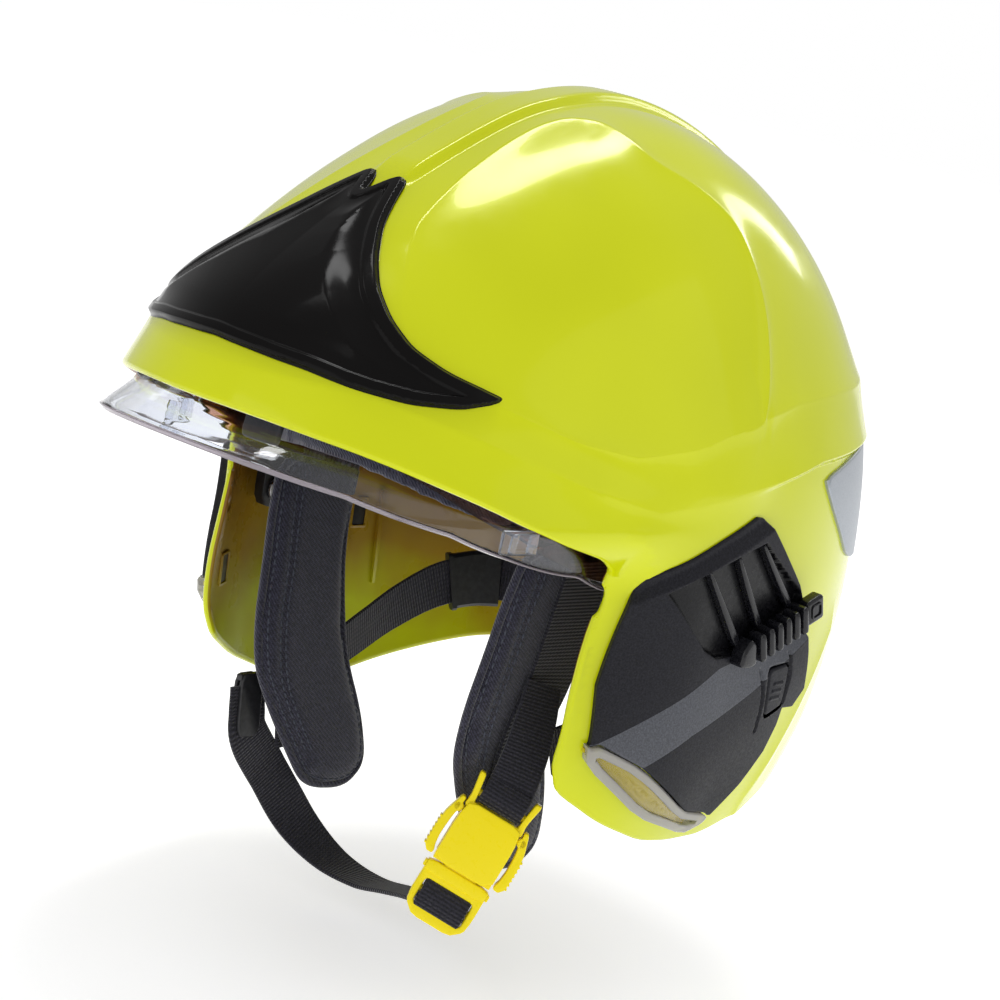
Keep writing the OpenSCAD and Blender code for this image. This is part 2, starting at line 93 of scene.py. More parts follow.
def soften(outline, keep=0.75, rounds=2, closed=True):
    """Rounds the corners of an outline by cutting them."""
    pts = np.asarray(outline, float)
    for _ in range(rounds):
        start, end = (pts, np.roll(pts, -1, 0)) if closed else (pts[:-1], pts[1:])
        cut = np.stack([start * keep + end * (1 - keep), start * (1 - keep) + end * keep], 1)
        cut = cut.reshape(-1, pts.shape[1])
        pts = cut if closed else np.vstack([pts[:1], cut, pts[-1:]])
    return pts


def between_points(a, b, c, d, t):
    """Smooth value from b to c, with a and d as the neighbours."""
    return b + t / 2 * (c - a + t * (2 * a - 5 * b + 4 * c - d + t * (3 * (b - c) + d - a)))


def curve_through(points, count):
    """Evenly spaced points on a smooth curve through the given ones."""
    pts = np.asarray(points, float)
    ends = np.vstack([2 * pts[0] - pts[1], pts, 2 * pts[-1] - pts[-2]])
    steps = np.linspace(0, 1, 12, endpoint=False)
    fine = [between_points(*ends[i:i + 4], t) for i in range(len(pts) - 1) for t in steps]
    fine = np.array([*fine, pts[-1]])
    run = length_along(fine)
    at = np.linspace(0, run[-1], count)
    return np.stack([np.interp(at, run, fine[:, k]) for k in range(fine.shape[1])], 1)


def length_along(points):
    """Distance from the first point to each one, along the path."""
    return np.concatenate([[0], np.cumsum(np.linalg.norm(np.diff(points, axis=0), axis=1))])


def unit(vectors):
    return vectors / np.maximum(np.linalg.norm(vectors, axis=1), 1e-12)[:, None]


# ---------------------------------------------------------------- shell surface
HALF_WIDTH, WALL = 118.0, 3.5
CREST_HEIGHT, OVERHANG = 3.4, 2.2
# Radius and roundness every 20 degrees round the pivot axis: 0 ahead, 90 up, 180 back, 270 down.
SHELL_R = np.array([
    188, 178, 158, 149, 151, 156, 158, 159, 160, 161, 168, 180, 186, 180, 172, 146, 135, 160.0])
SHELL_N = np.array([
    2.1, 1.95, 1.95, 2.05, 2.15, 2.2, 2.2, 2.3, 2.4, 2.5, 2.6, 2.7, 2.8, 2.8, 2.7, 2.5, 2.4, 2.2])


def round_table(table, theta):
    u = np.mod(np.degrees(theta), 360) / 20
    i = np.floor(u).astype(int)
    return between_points(*(table[(i + k) % len(table)] for k in (-1, 0, 1, 2)), u - i)


def flap_turn(y, z):
    """Inward turn along the front edge of the ear flaps."""
    return 14 * np.clip((-y - 12) / 40, 0, 1) ** 2 * step(-88, -20, z) * (1 - step(-12, 15, z))


def rounded(half, radius, roundness, uv):
    """Point of a rounded form at (theta, beta): theta round the pivot axis, beta from middle to side."""
    theta, beta = uv.T
    n = roundness(theta)
    s, c = np.sin(beta), np.cos(beta)
    m = (np.abs(s) ** n + np.abs(c) ** n) ** (1 / n)
    q = radius(theta) * c / m
    return half * s / m, -q * np.cos(theta), q * np.sin(theta)


def from_table(table):
    return lambda theta: round_table(table, theta)


def around(uv):
    """Shell point at (theta, beta)."""
    x, y, z = rounded(HALF_WIDTH, from_table(SHELL_R), from_table(SHELL_N), uv)
    return np.stack([x * (1 - flap_turn(y, z) / HALF_WIDTH), y, z], 1)


def beside(uv):
    """Shell point on the wearer's left over (y, z)."""
    y, z = uv.T
    theta = np.arctan2(z, -y)
    r, n = round_table(SHELL_R, theta), round_table(SHELL_N, theta)
    q = np.minimum(np.hypot(y, z) / r, 0.99)
    x = HALF_WIDTH * (1 - q ** n) ** (1 / n)
    return np.stack([x * (1 - flap_turn(y, z) / HALF_WIDTH), y, z], 1)


def normals(surface, uv, size):
    """Outward unit normals of surface(uv)."""
    du, dv = np.array([size, 0]), np.array([0, size])
    across = unit(np.cross(surface(uv + du) - surface(uv - du), surface(uv + dv) - surface(uv - dv)))
    return across * np.where((across * surface(uv)).sum(1) < 0, -1, 1)[:, None]


CHART_STEP = {around: 1e-3, beside: 0.2}


# ---------------------------------------------------------------- patches of surface
class Patch:
    """Triangles over a chart. cut() puts an edge line where a field crosses a level."""

    def __init__(self, chart, us, vs):
        self.chart = chart
        grid = np.stack(np.meshgrid(us, vs, indexing="ij"), -1)
        self.uv = grid.reshape(-1, 2)
        i, j = np.meshgrid(np.arange(len(us) - 1), np.arange(len(vs) - 1), indexing="ij")
        a = (i * len(vs) + j).ravel()
        b, c, d = a + len(vs), a + len(vs) + 1, a + 1
        odd = ((i + j) % 2).ravel()[:, None] == 1
        first = np.where(odd, np.stack([a, b, c], 1), np.stack([a, b, d], 1))
        second = np.where(odd, np.stack([a, c, d], 1), np.stack([b, c, d], 1))
        self.tris = np.vstack([first, second])
        self.fixed = np.zeros(len(self.uv), bool)

    def cut(self, field, *levels):
        for level in levels:
            self._cut(lambda uv, v=level: field(self.chart(uv)) - v)
        return self

    def keep(self, field, level=0.0):
        """Keeps the side where the field is below the level."""
        self.cut(field, level)
        mids = self.uv[self.tris].mean(1)
        self.tris = self.tris[field(self.chart(mids)) < level]
        used, back = np.unique(self.tris, return_inverse=True)
        self.tris = back.reshape(-1, 3)
        self.uv, self.fixed = self.uv[used], self.fixed[used]
        return self

    def _cut(self, field):
        s = field(self.uv)
        sides = self.tris[:, [0, 1, 1, 2, 2, 0]].reshape(-1, 2)
        edges = np.unique(np.sort(sides, 1), axis=0)
        edges = edges[s[edges[:, 0]] * s[edges[:, 1]] < 0]
        for _ in range(2):
            t = s[edges[:, 0]] / (s[edges[:, 0]] - s[edges[:, 1]])
            for end, near in ((0, t < 0.22), (1, t > 0.78)):
                pick = near & ~self.fixed[edges[:, end]] & (s[edges[:, end]] != 0)
                e, te = edges[pick], t[pick, None]
                self.uv[e[:, end]] = self.uv[e[:, 0]] * (1 - te) + self.uv[e[:, 1]] * te
                s[e[:, end]] = 0
                self.fixed[e[:, end]] = True
            live = s[edges[:, 0]] * s[edges[:, 1]] < 0
            edges = edges[live]
        if not len(edges):
            return
        p, q = self.uv[edges[:, 0]], self.uv[edges[:, 1]]
        low, high = np.zeros(len(edges)), np.ones(len(edges))
        s_low = s[edges[:, 0]]
        for _ in range(12):
            mid = (low + high) / 2
            same = field(p + (q - p) * mid[:, None]) * s_low > 0
            low, high = np.where(same, mid, low), np.where(same, high, mid)
        first_new = len(self.uv)
        self.uv = np.vstack([self.uv, p + (q - p) * ((low + high) / 2)[:, None]])
        s = np.concatenate([s, np.zeros(len(edges))])
        self.fixed = np.concatenate([self.fixed, np.ones(len(edges), bool)])
        made = {(a, b): first_new + k for k, (a, b) in enumerate(map(tuple, edges.tolist()))}
        signs = np.sign(s[self.tris])
        mixed = (signs.min(1) < 0) & (signs.max(1) > 0)
        new = []
        for tri in self.tris[mixed].tolist():
            cuts = [made.get(tuple(sorted((tri[k], tri[(k + 1) % 3])))) for k in range(3)]
            count = sum(c is not None for c in cuts)
            if count == 0:
                new.append(tri)
                continue
            if count == 1:
                k = next(i for i in range(3) if cuts[i] is not None)
                a, b, c = tri[k], tri[(k + 1) % 3], tri[(k + 2) % 3]
                new += [[a, cuts[k], c], [cuts[k], b, c]]
                continue
            k = next(i for i in range(3) if cuts[i] is None)
            a, b, c = tri[k], tri[(k + 1) % 3], tri[(k + 2) % 3]
            bc, ca = cuts[(k + 1) % 3], cuts[(k + 2) % 3]
            new += [[bc, c, ca], [a, b, bc], [a, bc, ca]]
        self.tris = np.vstack([self.tris[~mixed], np.array(new, int).reshape(-1, 3)])


def side_view(outline, closed=True):
    return lambda p: outline_distance(outline, p[:, 1:], closed)


def front_view(outline, closed=True):
    return lambda p: outline_distance(outline, np.stack([np.abs(p[:, 0]), p[:, 2]], 1), closed)


def thick(name, patch, top, bottom, outside, inside=None, mirror=False):
    """Closed skin over a patch; top and bottom are heights over its chart (number or field) or a chart."""
    chart, uv, tris = patch.chart, patch.uv, patch.tris
    size = CHART_STEP[chart]

    def level(height):
        if height in CHART_STEP:
            return height

        def surface(at):
            p = chart(at)
            rise = height(p) if callable(height) else height
            return p + normals(chart, at, size) * np.reshape(rise, (-1, 1))
        return surface
    base, n = chart(uv), normals(chart, uv, size)
    facing = np.cross(base[tris[:, 1]] - base[tris[:, 0]], base[tris[:, 2]] - base[tris[:, 0]])
    flip = (facing * n[tris[:, 0]]).sum(1) < 0
    tris[flip] = tris[flip][:, ::-1]
    high, low = level(top)(uv), level(bottom)(uv)
    n_high, n_low = normals(level(top), uv, size), -normals(level(bottom), uv, size)
    count = len(uv)
    sides = tris[:, [0, 1, 1, 2, 2, 0]].reshape(-1, 2)
    there = set(map(tuple, sides.tolist()))
    rim = np.array([(a, b) for a, b in there if (b, a) not in there])
    rim = rim[np.lexsort((rim[:, 1], rim[:, 0]))]
    walls = np.stack([rim[:, 1], rim[:, 0], rim[:, 0] + count, rim[:, 1] + count], 1)
    verts = np.vstack([high, low])
    a, b, c = (verts[walls[:, k]] for k in range(3))
    n_wall = unit(np.cross(b - a, c - b))
    around_rim = np.zeros((count, 3))
    for k in (0, 1):
        np.add.at(around_rim, walls[:, k], n_wall)
    wall_corner = unit(around_rim)[np.mod(walls, count)]
    sharp = (wall_corner * n_wall[:, None]).sum(2) < 0.8
    wall_corner[sharp] = np.repeat(n_wall[:, None], 4, 1)[sharp]
    under_tris = tris[:, ::-1]
    corner = np.vstack([c.reshape(-1, 3) for c in (n_high[tris], n_low[under_tris], wall_corner)])
    faces = tris.tolist() + (under_tris + count).tolist() + walls.tolist()
    if mirror:
        verts, corner = verts * (-1, 1, 1), corner * (-1, 1, 1)
        ends = np.cumsum([len(f) for f in faces])
        corner = np.vstack([corner[e - len(f):e][::-1] for e, f in zip(ends, faces)])
        faces = [f[::-1] for f in faces]
    obj = mesh_object(name, verts, faces, [outside, inside or outside], None)
    if inside:
        marks = np.zeros(len(faces), np.int32)
        marks[len(tris):2 * len(tris)] = 1
        obj.data.polygons.foreach_set("material_index", marks)
    obj.data.normals_split_custom_set(corner.tolist())
    return obj


# ---------------------------------------------------------------- mesh objects
def mesh_object(name, verts_mm, faces, materials, crease=32):
    mesh = bpy.data.meshes.new(name)
    mesh.from_pydata((np.asarray(verts_mm) * MM).tolist(), [], faces)
    obj = bpy.data.objects.new(name, mesh)
    bpy.context.scene.collection.objects.link(obj)
    for m in materials:
        mesh.materials.append(m)
    smooth(obj, crease)
    return obj


def smooth(obj, crease=32):
    obj.data.polygons.foreach_set("use_smooth", np.ones(len(obj.data.polygons), bool))
    if crease:
        obj.data.set_sharp_from_angle(angle=math.radians(crease))


def merged(name, pieces):
    """Joins mesh objects into one, keeping their materials."""
    bpy.ops.object.select_all(action="DESELECT")
    for p in pieces:
        p.select_set(True)
    bpy.context.view_layer.objects.active = pieces[0]
    if len(pieces) > 1:
        bpy.ops.object.join()
    obj = bpy.context.view_layer.objects.active
    obj.name = name
    return obj


def flat_solid(loops, low, high, material, place=Matrix.Identity(4), bevel=0.4, segments=2):
    """Outlines (the first outer, the rest holes) raised from low to high, with rounded edges."""
    curve = bpy.data.curves.new("solid", "CURVE")
    curve.dimensions, curve.fill_mode = "2D", "BOTH"
    curve.extrude = (high - low) / 2 - bevel
    curve.bevel_depth, curve.bevel_resolution, curve.offset = bevel, segments, -bevel
    for loop in loops:
        spline = curve.splines.new("POLY")
        spline.points.add(len(loop) - 1)
        for point, at in zip(spline.points, loop):
            point.co = (at[0], at[1], 0, 1)
        spline.use_cyclic_u = True
    holder = bpy.data.objects.new("solid", curve)
    bpy.context.scene.collection.objects.link(holder)
    bpy.context.view_layer.update()
    mesh = bpy.data.meshes.new_from_object(holder.evaluated_get(bpy.context.evaluated_depsgraph_get()))
    bpy.data.objects.remove(holder)
    mesh.transform(Matrix.Scale(MM, 4) @ place @ Matrix.Translation((0, 0, (low + high) / 2)))
    mesh.materials.clear()
    mesh.materials.append(material)
    obj = bpy.data.objects.new("solid", mesh)
    bpy.context.scene.collection.objects.link(obj)
    mend(mesh, 1e-6)
    smooth(obj, 40)
    return obj


def mend(mesh, gap=0.0):
    """Joins points closer than gap and turns all faces outward."""
    bm = bmesh.new()
    bm.from_mesh(mesh)
    if gap:
        bmesh.ops.remove_doubles(bm, verts=bm.verts, dist=gap)
    bmesh.ops.recalc_face_normals(bm, faces=bm.faces)
    bm.to_mesh(mesh)
    bm.free()


class Kit:
    """Gathers the flat solids of one piece; add() takes an outline, its levels, its edge and its holes."""

    def __init__(self, material, place=Matrix.Identity(4)):
        self.material, self.place, self.parts = material, place, []

    def add(self, outline, low, high, bevel=0.4, segments=2, holes=(), material=None):
        loops = [outline, *(np.asarray(hole)[::-1] for hole in holes)]
        material = material or self.material
        self.parts.append(flat_solid(loops, low, high, material, self.place, bevel, segments))

    def fit(self, name, body, slot, *nodes):
        return fit(merged(name, self.parts), body, slot, *nodes)


def disc(radius, count=48, centre=(0, 0)):
    a = np.linspace(0, 2 * math.pi, count, endpoint=False)
    return np.stack([centre[0] + radius * np.cos(a), centre[1] + radius * np.sin(a)], 1)


def box_outline(x0, x1, y0, y1, corner=1.0, count=5):
    """Rectangle with round corners."""
    out = []
    for cx, cy, start in ((x1 - corner, y1 - corner, 0), (x0 + corner, y1 - corner, 90),
                          (x0 + corner, y0 + corner, 180), (x1 - corner, y0 + corner, 270)):
        for a in np.radians(np.linspace(start, start + 90, count)):
            out.append((cx + corner * math.cos(a), cy + corner * math.sin(a)))
    return np.array(out)


def mirrored(matrix):
    return Matrix.Scale(-1, 4, (1, 0, 0)) @ matrix


def basis(x, y, z, at=(0, 0, 0)):
    """Matrix with these three axes and this origin."""
    made = Matrix([Vector(axis) for axis in (x, y, z)]).transposed().to_4x4()
    made.translation = Vector(at)
    return made


def sideways(x=0, y=0, z=0, turn=0.0):
    """Places a flat solid against the side: its x runs back, its y up, and its z out to the left."""
    base = basis((0, 1, 0), (0, 0, 1), (1, 0, 0), (x, y, z))
    return base @ Matrix.Rotation(math.radians(turn), 4, "Z")


def side_place(side, matrix):
    return mirrored(matrix) if side == "right" else matrix


def ring_faces(count, sides, closed=False, first=0):
    """Faces between rings of points, with flat ends unless the run is closed."""
    faces = []
    for i in range(count if closed else count - 1):
        near, far = first + i * sides, first + (i + 1) % count * sides
        faces += [[near + j, near + (j + 1) % sides, far + (j + 1) % sides, far + j] for j in range(sides)]
    if not closed:
        last = first + (count - 1) * sides
        faces += [list(range(first, first + sides))[::-1], list(range(last, last + sides))]
    return faces


def tube(name, path, radius, material, sides=10, closed=False):
    """Round bar along points."""
    pts = np.asarray(path, float)
    ahead = unit((np.roll(pts, -1, 0) - np.roll(pts, 1, 0)) if closed else np.gradient(pts, axis=0))
    up = np.cross(ahead[0], (0.3, 0.5, 0.8))
    verts = []
    for point, along in zip(pts, ahead):
        up = up - along * (up @ along)
        up /= np.linalg.norm(up)
        side = np.cross(along, up)
        for a in np.linspace(0, 2 * math.pi, sides, endpoint=False):
            verts.append(point + radius * (up * math.cos(a) + side * math.sin(a)))
    return mesh_object(name, verts, ring_faces(len(pts), sides, closed), [material], 50)


def ribbon(name, path, wide, width, thickness, material, count=60, edge=0.45):
    """Flat webbing along a smooth path, with rounded edges and a UV in metres along it."""
    pts = curve_through(path, count)
    w = curve_through(wide, count)
    ahead = unit(np.gradient(pts, axis=0))
    w = unit(w - ahead * (w * ahead).sum(1)[:, None])
    out = np.cross(ahead, w)
    h, t = width / 2, thickness / 2
    top = [(h - edge, t), (h * 0.5, t), (0, t), (-h * 0.5, t), (-h + edge, t)]
    half = top + [(-h, t - edge), (-h, -t + edge)]
    section = half + [(-a, -b) for a, b in half]
    k = len(section)
    rings = [pts[i] + w[i] * a + out[i] * b for i in range(count) for a, b in section]
    obj = mesh_object(name, rings, ring_faces(count, k), [material], 40)
    run = length_along(pts)
    layer = obj.data.uv_layers.new(name="along")
    for poly in obj.data.polygons:
        for li in poly.loop_indices:
            v = obj.data.loops[li].vertex_index
            layer.data[li].uv = (run[v // k] * MM, section[v % k][0] * MM)
    mend(obj.data)
    return obj


def fit(obj, body, slot, *nodes):
    """Ties a finished piece to its body and hides the nodes it stands for; slot is not used."""
    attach(obj, body)
    if nodes:
        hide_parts(*nodes)
    return obj


# ---------------------------------------------------------------- materials
SOCKETS = {
    "color": "Base Color", "rough": "Roughness", "metal": "Metallic", "ior": "IOR", "coat": "Coat Weight",
    "coat_rough": "Coat Roughness", "clear": "Transmission Weight", "sheen": "Sheen Weight",
    "spec": "Specular IOR Level", "tint": "Specular Tint"}


class Finish:
    """A Principled material with helpers for procedural detail in object space."""

    def __init__(self, name, **values):
        self.material = bpy.data.materials.new(name)
        self.material.use_nodes = True
        self.tree = self.material.node_tree
        self.shader = self.tree.nodes["Principled BSDF"]
        for key, value in values.items():
            if key in ("color", "tint"):
                value = (*value, 1)
            self.shader.inputs[SOCKETS[key]].default_value = value
        self.height = None
        self.place = self.node("ShaderNodeTexCoord").outputs["Object"]

    def node(self, kind, inputs=None, **settings):
        made = self.tree.nodes.new(kind)
        for key, value in settings.items():
            setattr(made, key, value)
        for key, value in (inputs or {}).items():
            if isinstance(value, bpy.types.NodeSocket):
                self.tree.links.new(value, made.inputs[key])
            else:
                made.inputs[key].default_value = value
        return made

    def noise(self, scale, detail=3.0, rough=0.55, where=None):
        inputs = {"Vector": where or self.place, "Scale": scale, "Detail": detail, "Roughness": rough}
        return self.node("ShaderNodeTexNoise", inputs).outputs["Fac"]

    def math(self, kind, a, b=0.0):
        return self.node("ShaderNodeMath", {0: a, 1: b}, operation=kind).outputs[0]

    def between(self, factor, low, high, start=0.3, end=0.7):
        inputs = {"Value": factor, "From Min": start, "From Max": end, "To Min": low, "To Max": high}
        return self.node("ShaderNodeMapRange", inputs).outputs["Result"]

    def colours(self, factor, stops):
        made = self.node("ShaderNodeValToRGB", {"Fac": factor})
        ramp = made.color_ramp
        while len(ramp.elements) < len(stops):
            ramp.elements.new(0.5)
        for element, (at, colour) in zip(ramp.elements, stops):
            element.position, element.color = at, (*colour, 1)
        self.tree.links.new(made.outputs["Color"], self.shader.inputs["Base Color"])
        return self

    def roughness(self, factor, low, high):
        self.tree.links.new(self.between(factor, low, high), self.shader.inputs["Roughness"])
        return self

    def bump(self, height, distance, strength=1.0):
        """Adds one layer of relief, distance in metres."""
        inputs = {"Height": height, "Distance": distance, "Strength": strength}
        if self.height is not None:
            inputs["Normal"] = self.height
        self.height = self.node("ShaderNodeBump", inputs).outputs["Normal"]
        self.tree.links.new(self.height, self.shader.inputs["Normal"])
        return self

    def waves(self, direction, pitch, where=None):
        """Sine bands, one every pitch metres, along a direction."""
        inputs = {0: where or self.place, 1: Vector(direction).normalized()}
        along = self.node("ShaderNodeVectorMath", inputs, operation="DOT_PRODUCT").outputs["Value"]
        return self.math("SINE", self.math("MULTIPLY", along, 2 * math.pi / pitch))


def toned(colour, factor, lift=0.0):
    """A lighter or darker copy of a colour."""
    return [min(1, c * factor + lift) for c in colour]


def paint(name, colour, rough=0.16, coat=0.6, tint=(1, 1, 1), spec=0.5):
    """Glossy lacquer: faint orange peel and a slight drift of tone."""
    f = Finish(name, color=colour, rough=rough, coat=coat, coat_rough=0.03, ior=1.5, tint=tint, spec=spec)
    f.colours(f.noise(9, 2), [(0.3, toned(colour, 0.94)), (0.7, toned(colour, 1.06, 0.004))])
    f.roughness(f.noise(60, 3), rough - 0.04, rough + 0.05)
    return f.bump(f.noise(420, 1), 0.00002, 0.25).material


def shell_inside_painted_shade():
    """Bare inside of the shell: yellow-green, with painted shade turning it dark brown higher up inside and
    leaving it light towards the lower edge, and moulding marks.
    """
    colour = (0.5, 0.42, 0.006)
    f = Finish("shell_inside_painted_shade", color=colour, rough=0.3, coat=0.2, coat_rough=0.03, ior=1.5, spec=0.4)
    height = f.node("ShaderNodeSeparateXYZ", {"Vector": f.place}).outputs["Z"]
    # painted shade: the colour darkens with height inside the shell, and the lower edge stays light
    # yellow-green
    rise = f.between(height, 0.0, 1.0, -0.1, -0.015)
    cloud = f.between(f.noise(14, 3), -0.35, 0.35, 0.25, 0.75)
    stops = [(0.05, (0.6, 0.66, 0.003)), (0.45, (0.42, 0.25, 0.009)), (0.9, (0.26, 0.1, 0.012))]
    f.colours(f.math("ADD", rise, cloud), stops)
    f.roughness(f.noise(60, 3), 0.24, 0.38)
    return f.bump(f.noise(220, 2), 0.00005, 0.4).material


def grained(name, colour, rough, pitch=1500, depth=0.0001, pale=1.5, spec=0.5):
    """Moulded plastic with fine grain."""
    f = Finish(name, color=colour, rough=rough, ior=1.46, spec=spec)
    f.colours(f.noise(pitch, 2, 0.6), [(0.35, colour), (0.72, toned(colour, pale, 0.006))])
    f.roughness(f.noise(pitch * 0.6, 3), rough - 0.06, rough + 0.08)
    return f.bump(f.noise(pitch, 2), depth, 0.6).material


def clear_plastic(name, colour, rough=0.03, ior=1.45, clear=1.0, coat=0.0):
    f = Finish(name, color=colour, rough=rough, clear=clear, ior=ior, coat=coat, coat_rough=0.03)
    return f.roughness(f.noise(30, 2), rough * 0.6, rough * 1.8).material


def twill(name, colour, pale, pitch=0.001):
    """Woven pad cloth: diagonal ribs crossed by threads, with fuzz."""
    f = Finish(name, color=colour, rough=0.9, sheen=0.35, spec=0.25)
    ribs = f.waves((1, 0.75, 0.9), pitch)
    threads = f.waves((-0.6, 1, -0.7), pitch * 0.72)
    cross = f.math("MULTIPLY", ribs, f.math("ADD", f.math("MULTIPLY", threads, 0.45), 0.75))
    fuzz = f.noise(900, 3, 0.7)
    f.colours(f.math("ADD", f.math("MULTIPLY", cross, 0.13), fuzz), [(0.34, colour), (0.78, pale)])
    return f.bump(cross, 0.00016, 0.7).bump(fuzz, 0.00022, 0.6).material


def webbing(name, colour, pale, pitch=0.0014):
    """Ribbed webbing; the ribs follow the strap through its UV."""
    f = Finish(name, color=colour, rough=0.82, sheen=0.25, spec=0.3)
    run = f.node("ShaderNodeUVMap", uv_map="along").outputs["UV"]
    ribs = f.waves((1, 0, 0), pitch, run)
    rows = f.waves((0, 1, 0), 0.0021, run)
    weave = f.math("ADD", ribs, f.math("MULTIPLY", rows, f.math("MULTIPLY", ribs, 0.5)))
    tone = f.math("ADD", f.math("MULTIPLY", weave, 0.12), f.noise(1200, 2))
    f.colours(tone, [(0.35, colour), (0.85, pale)])
    return f.bump(weave, 0.00018, 0.8).material


def steel(name):
    f = Finish(name, color=(0.62, 0.62, 0.64), rough=0.28, metal=1.0)
    f.roughness(f.noise(300, 4, 0.7), 0.2, 0.38)
    return f.bump(f.noise(700, 2), 0.00002, 0.4).material


def retroreflective(name):
    """Silver sheet with a fine cell pattern."""
    f = Finish(name, color=(0.42, 0.46, 0.5), rough=0.4, metal=0.35)
    cells = f.node("ShaderNodeTexVoronoi", {"Vector": f.place, "Scale": 1500.0}).outputs["Distance"]
    f.colours(cells, [(0.1, (0.33, 0.36, 0.4)), (0.6, (0.42, 0.45, 0.49))])
    return f.bump(cells, 0.00008, 0.5).material


SHELL_PAINT = paint("shell_paint", (0.65, 0.71, 0.0), coat=0.25, tint=(1, 1, 0.4))
# inside finish with painted shade by height
SHELL_INSIDE_PAINTED_SHADE = shell_inside_painted_shade()
PLATE_BLACK = paint("plate_black", (0.0015, 0.001, 0.001), 0.13, 0.0, spec=0.1)
COVER_BLACK = grained("cover_black", (0.006, 0.006, 0.009), 0.5, pale=2.2, spec=0.22)
# lighter copy of the cover black for the sloping bevel band: painted light where the band catches the light
COVER_BEVEL_PAINTED_LIGHT = grained("cover_bevel_painted_light", (0.05, 0.053, 0.064), 0.42, pale=1.8)
# darker copy of the cover black for the floor of the recess: painted shade
RECESS_BLACK_PAINTED_SHADE = grained("recess_black_painted_shade", (0.002, 0.002, 0.003), 0.3, 900, 0.00004, spec=0.25)
RACK_BLACK = grained("rack_black", (0.004, 0.004, 0.006), 0.22, 900, 0.00003, spec=0.45)
RUBBER = grained("rubber", (0.016, 0.011, 0.013), 0.45, 600, 0.00005)
CLEAR = clear_plastic("clear_shield", (0.9, 0.92, 0.97), ior=1.07, coat=1.0)
BEAD = clear_plastic("shield_edge", (0.5, 0.45, 0.5), 0.1, 1.3, 0.6)
TINTED = clear_plastic("tinted_visor", (0.72, 0.4, 0.28), 0.04, 1.22)
LENS = clear_plastic("lamp_lens", (0.95, 0.94, 0.92), 0.06, 1.2)
LENS_RIM = clear_plastic("lamp_rim", (0.62, 0.6, 0.57), 0.1, 1.4, 0.5)
AMBER = paint("amber", (0.55, 0.44, 0.02), 0.2, 0.4)
PAD_CLOTH = twill("pad_cloth", (0.009, 0.009, 0.016), (0.058, 0.056, 0.092))
THREAD = grained("thread", (0.05, 0.055, 0.075), 0.8, 2500, 0.0002)
STRAP_WEB = webbing("strap_webbing", (0.006, 0.006, 0.01), (0.036, 0.034, 0.05))
SATIN_BLACK = grained("satin_black", (0.012, 0.012, 0.014), 0.38, 500, 0.00004)
FOAM = grained("liner_foam", (0.02, 0.02, 0.023), 0.85, 350, 0.0004)
STEEL = steel("steel")
SILVER = retroreflective("reflective")
BUCKLE = grained("buckle_yellow", (0.98, 0.8, 0.0), 0.3, 900, 0.00003, 1.0, 0.35)


# ---------------------------------------------------------------- shell
OPENING = [
    (-181, 40), (-150, 32), (-115, 20), (-85, 8), (-64, 2), (-54, -4), (-51, -14), (-54, -35), (-56, -55),
    (-56, -80), (-50, -92), (-30, -104), (-4, -114), (16, -117), (38, -118), (78, -109), (110, -101),
    (138, -97), (168, -92), (230, -92), (230, 230), (-230, 230), (-230, 44)]
# Side view lines (y, z): the belt crease, the lower edge of the band, and the skirt crease.
BELT = [
    (-150, 61), (-113, 56), (-104, 52), (-82, 44), (-57, 40), (-29, 44), (4, 55), (30, 60), (66, 62),
    (210, 62)]
BAND_LOW = [
    (-150, 52), (-139, 49), (-111, 40), (-73, 28), (-45, 21), (-25, 23), (10, 30), (51, 38), (111, 40),
    (210, 40)]
SKIRT = [(95, -36), (81, -64), (60, -105)]
CHEEK_LINE = [(-64, 14), (-46, 9), (-40, -3), (-39, -20), (-39, -44), (-41, -62), (-46, -78)]
CHEEK_LIP = soften(CHEEK_LINE, 0.75, 3, False)
# Edge of the side dome: up beside the crest, over the top, down the side and back along the belt.
DOME = [
    (29, -111, 104), (26, -100, 112), (23, -84, 123), (20, -61, 135), (19, -40, 144), (21, -26, 148),
    (29, -17, 150), (42, -15, 147), (56, -13, 140), (69, 1, 133), (79, 10, 124), (90, 12, 110),
    (100, 12, 93), (107, 10, 76), (111, 8, 63), (114, 5, 52), (113, -29, 44), (108, -57, 40),
    (99, -82, 44), (87, -104, 52), (81, -113, 56), (66, -128, 66), (52, -137, 76)]


def unroll(points):
    """Spreads shell points flat, in about mm: along the pivot angle, and from the middle to the side."""
    p = np.asarray(points, float)
    theta = np.arctan2(p[:, 2], -p[:, 1])
    r = round_table(SHELL_R, theta)
    tilt = np.arctan2(np.abs(p[:, 0]) / HALF_WIDTH, np.hypot(p[:, 1], p[:, 2]) / r)
    return np.stack([150 * np.where(theta < -math.pi / 2, theta + 2 * math.pi, theta), 125 * tilt], 1)


DOME_FLAT = soften(unroll(DOME), 0.8, 2)
FACE_EDGE = soften(OPENING, 0.85, 2)


def pivot_angle(p):
    return np.degrees(np.arctan2(p[:, 2], -p[:, 1])) % 360


def above(line):
    """Height over a side view line."""
    ys, zs = np.array(line, float).T
    return lambda p: p[:, 2] - np.interp(p[:, 1], ys, zs)


def under(line):
    """Depth below a side view line."""
    return lambda p: -above(line)(p)


def past(line, value, height):
    """How far value lies beyond a line of (value, height) points that runs downwards."""
    values, heights = np.array(line, float).T[:, ::-1]
    return value - np.interp(height, heights, values)


def dome_edge(p):
    return outline_distance(DOME_FLAT, unroll(p))


def crest_edge(p):
    angle = pivot_angle(p)
    return np.abs(p[:, 0]) - 7.5 - 13 * step(92, 126, angle)


def shell_edge(p):
    return outline_distance(FACE_EDGE, p[:, 1:])


def skirt_line(p):
    return past(SKIRT, p[:, 1], p[:, 2])


def ridge(distance, height, reach):
    return height * np.exp(-np.abs(distance) / reach)


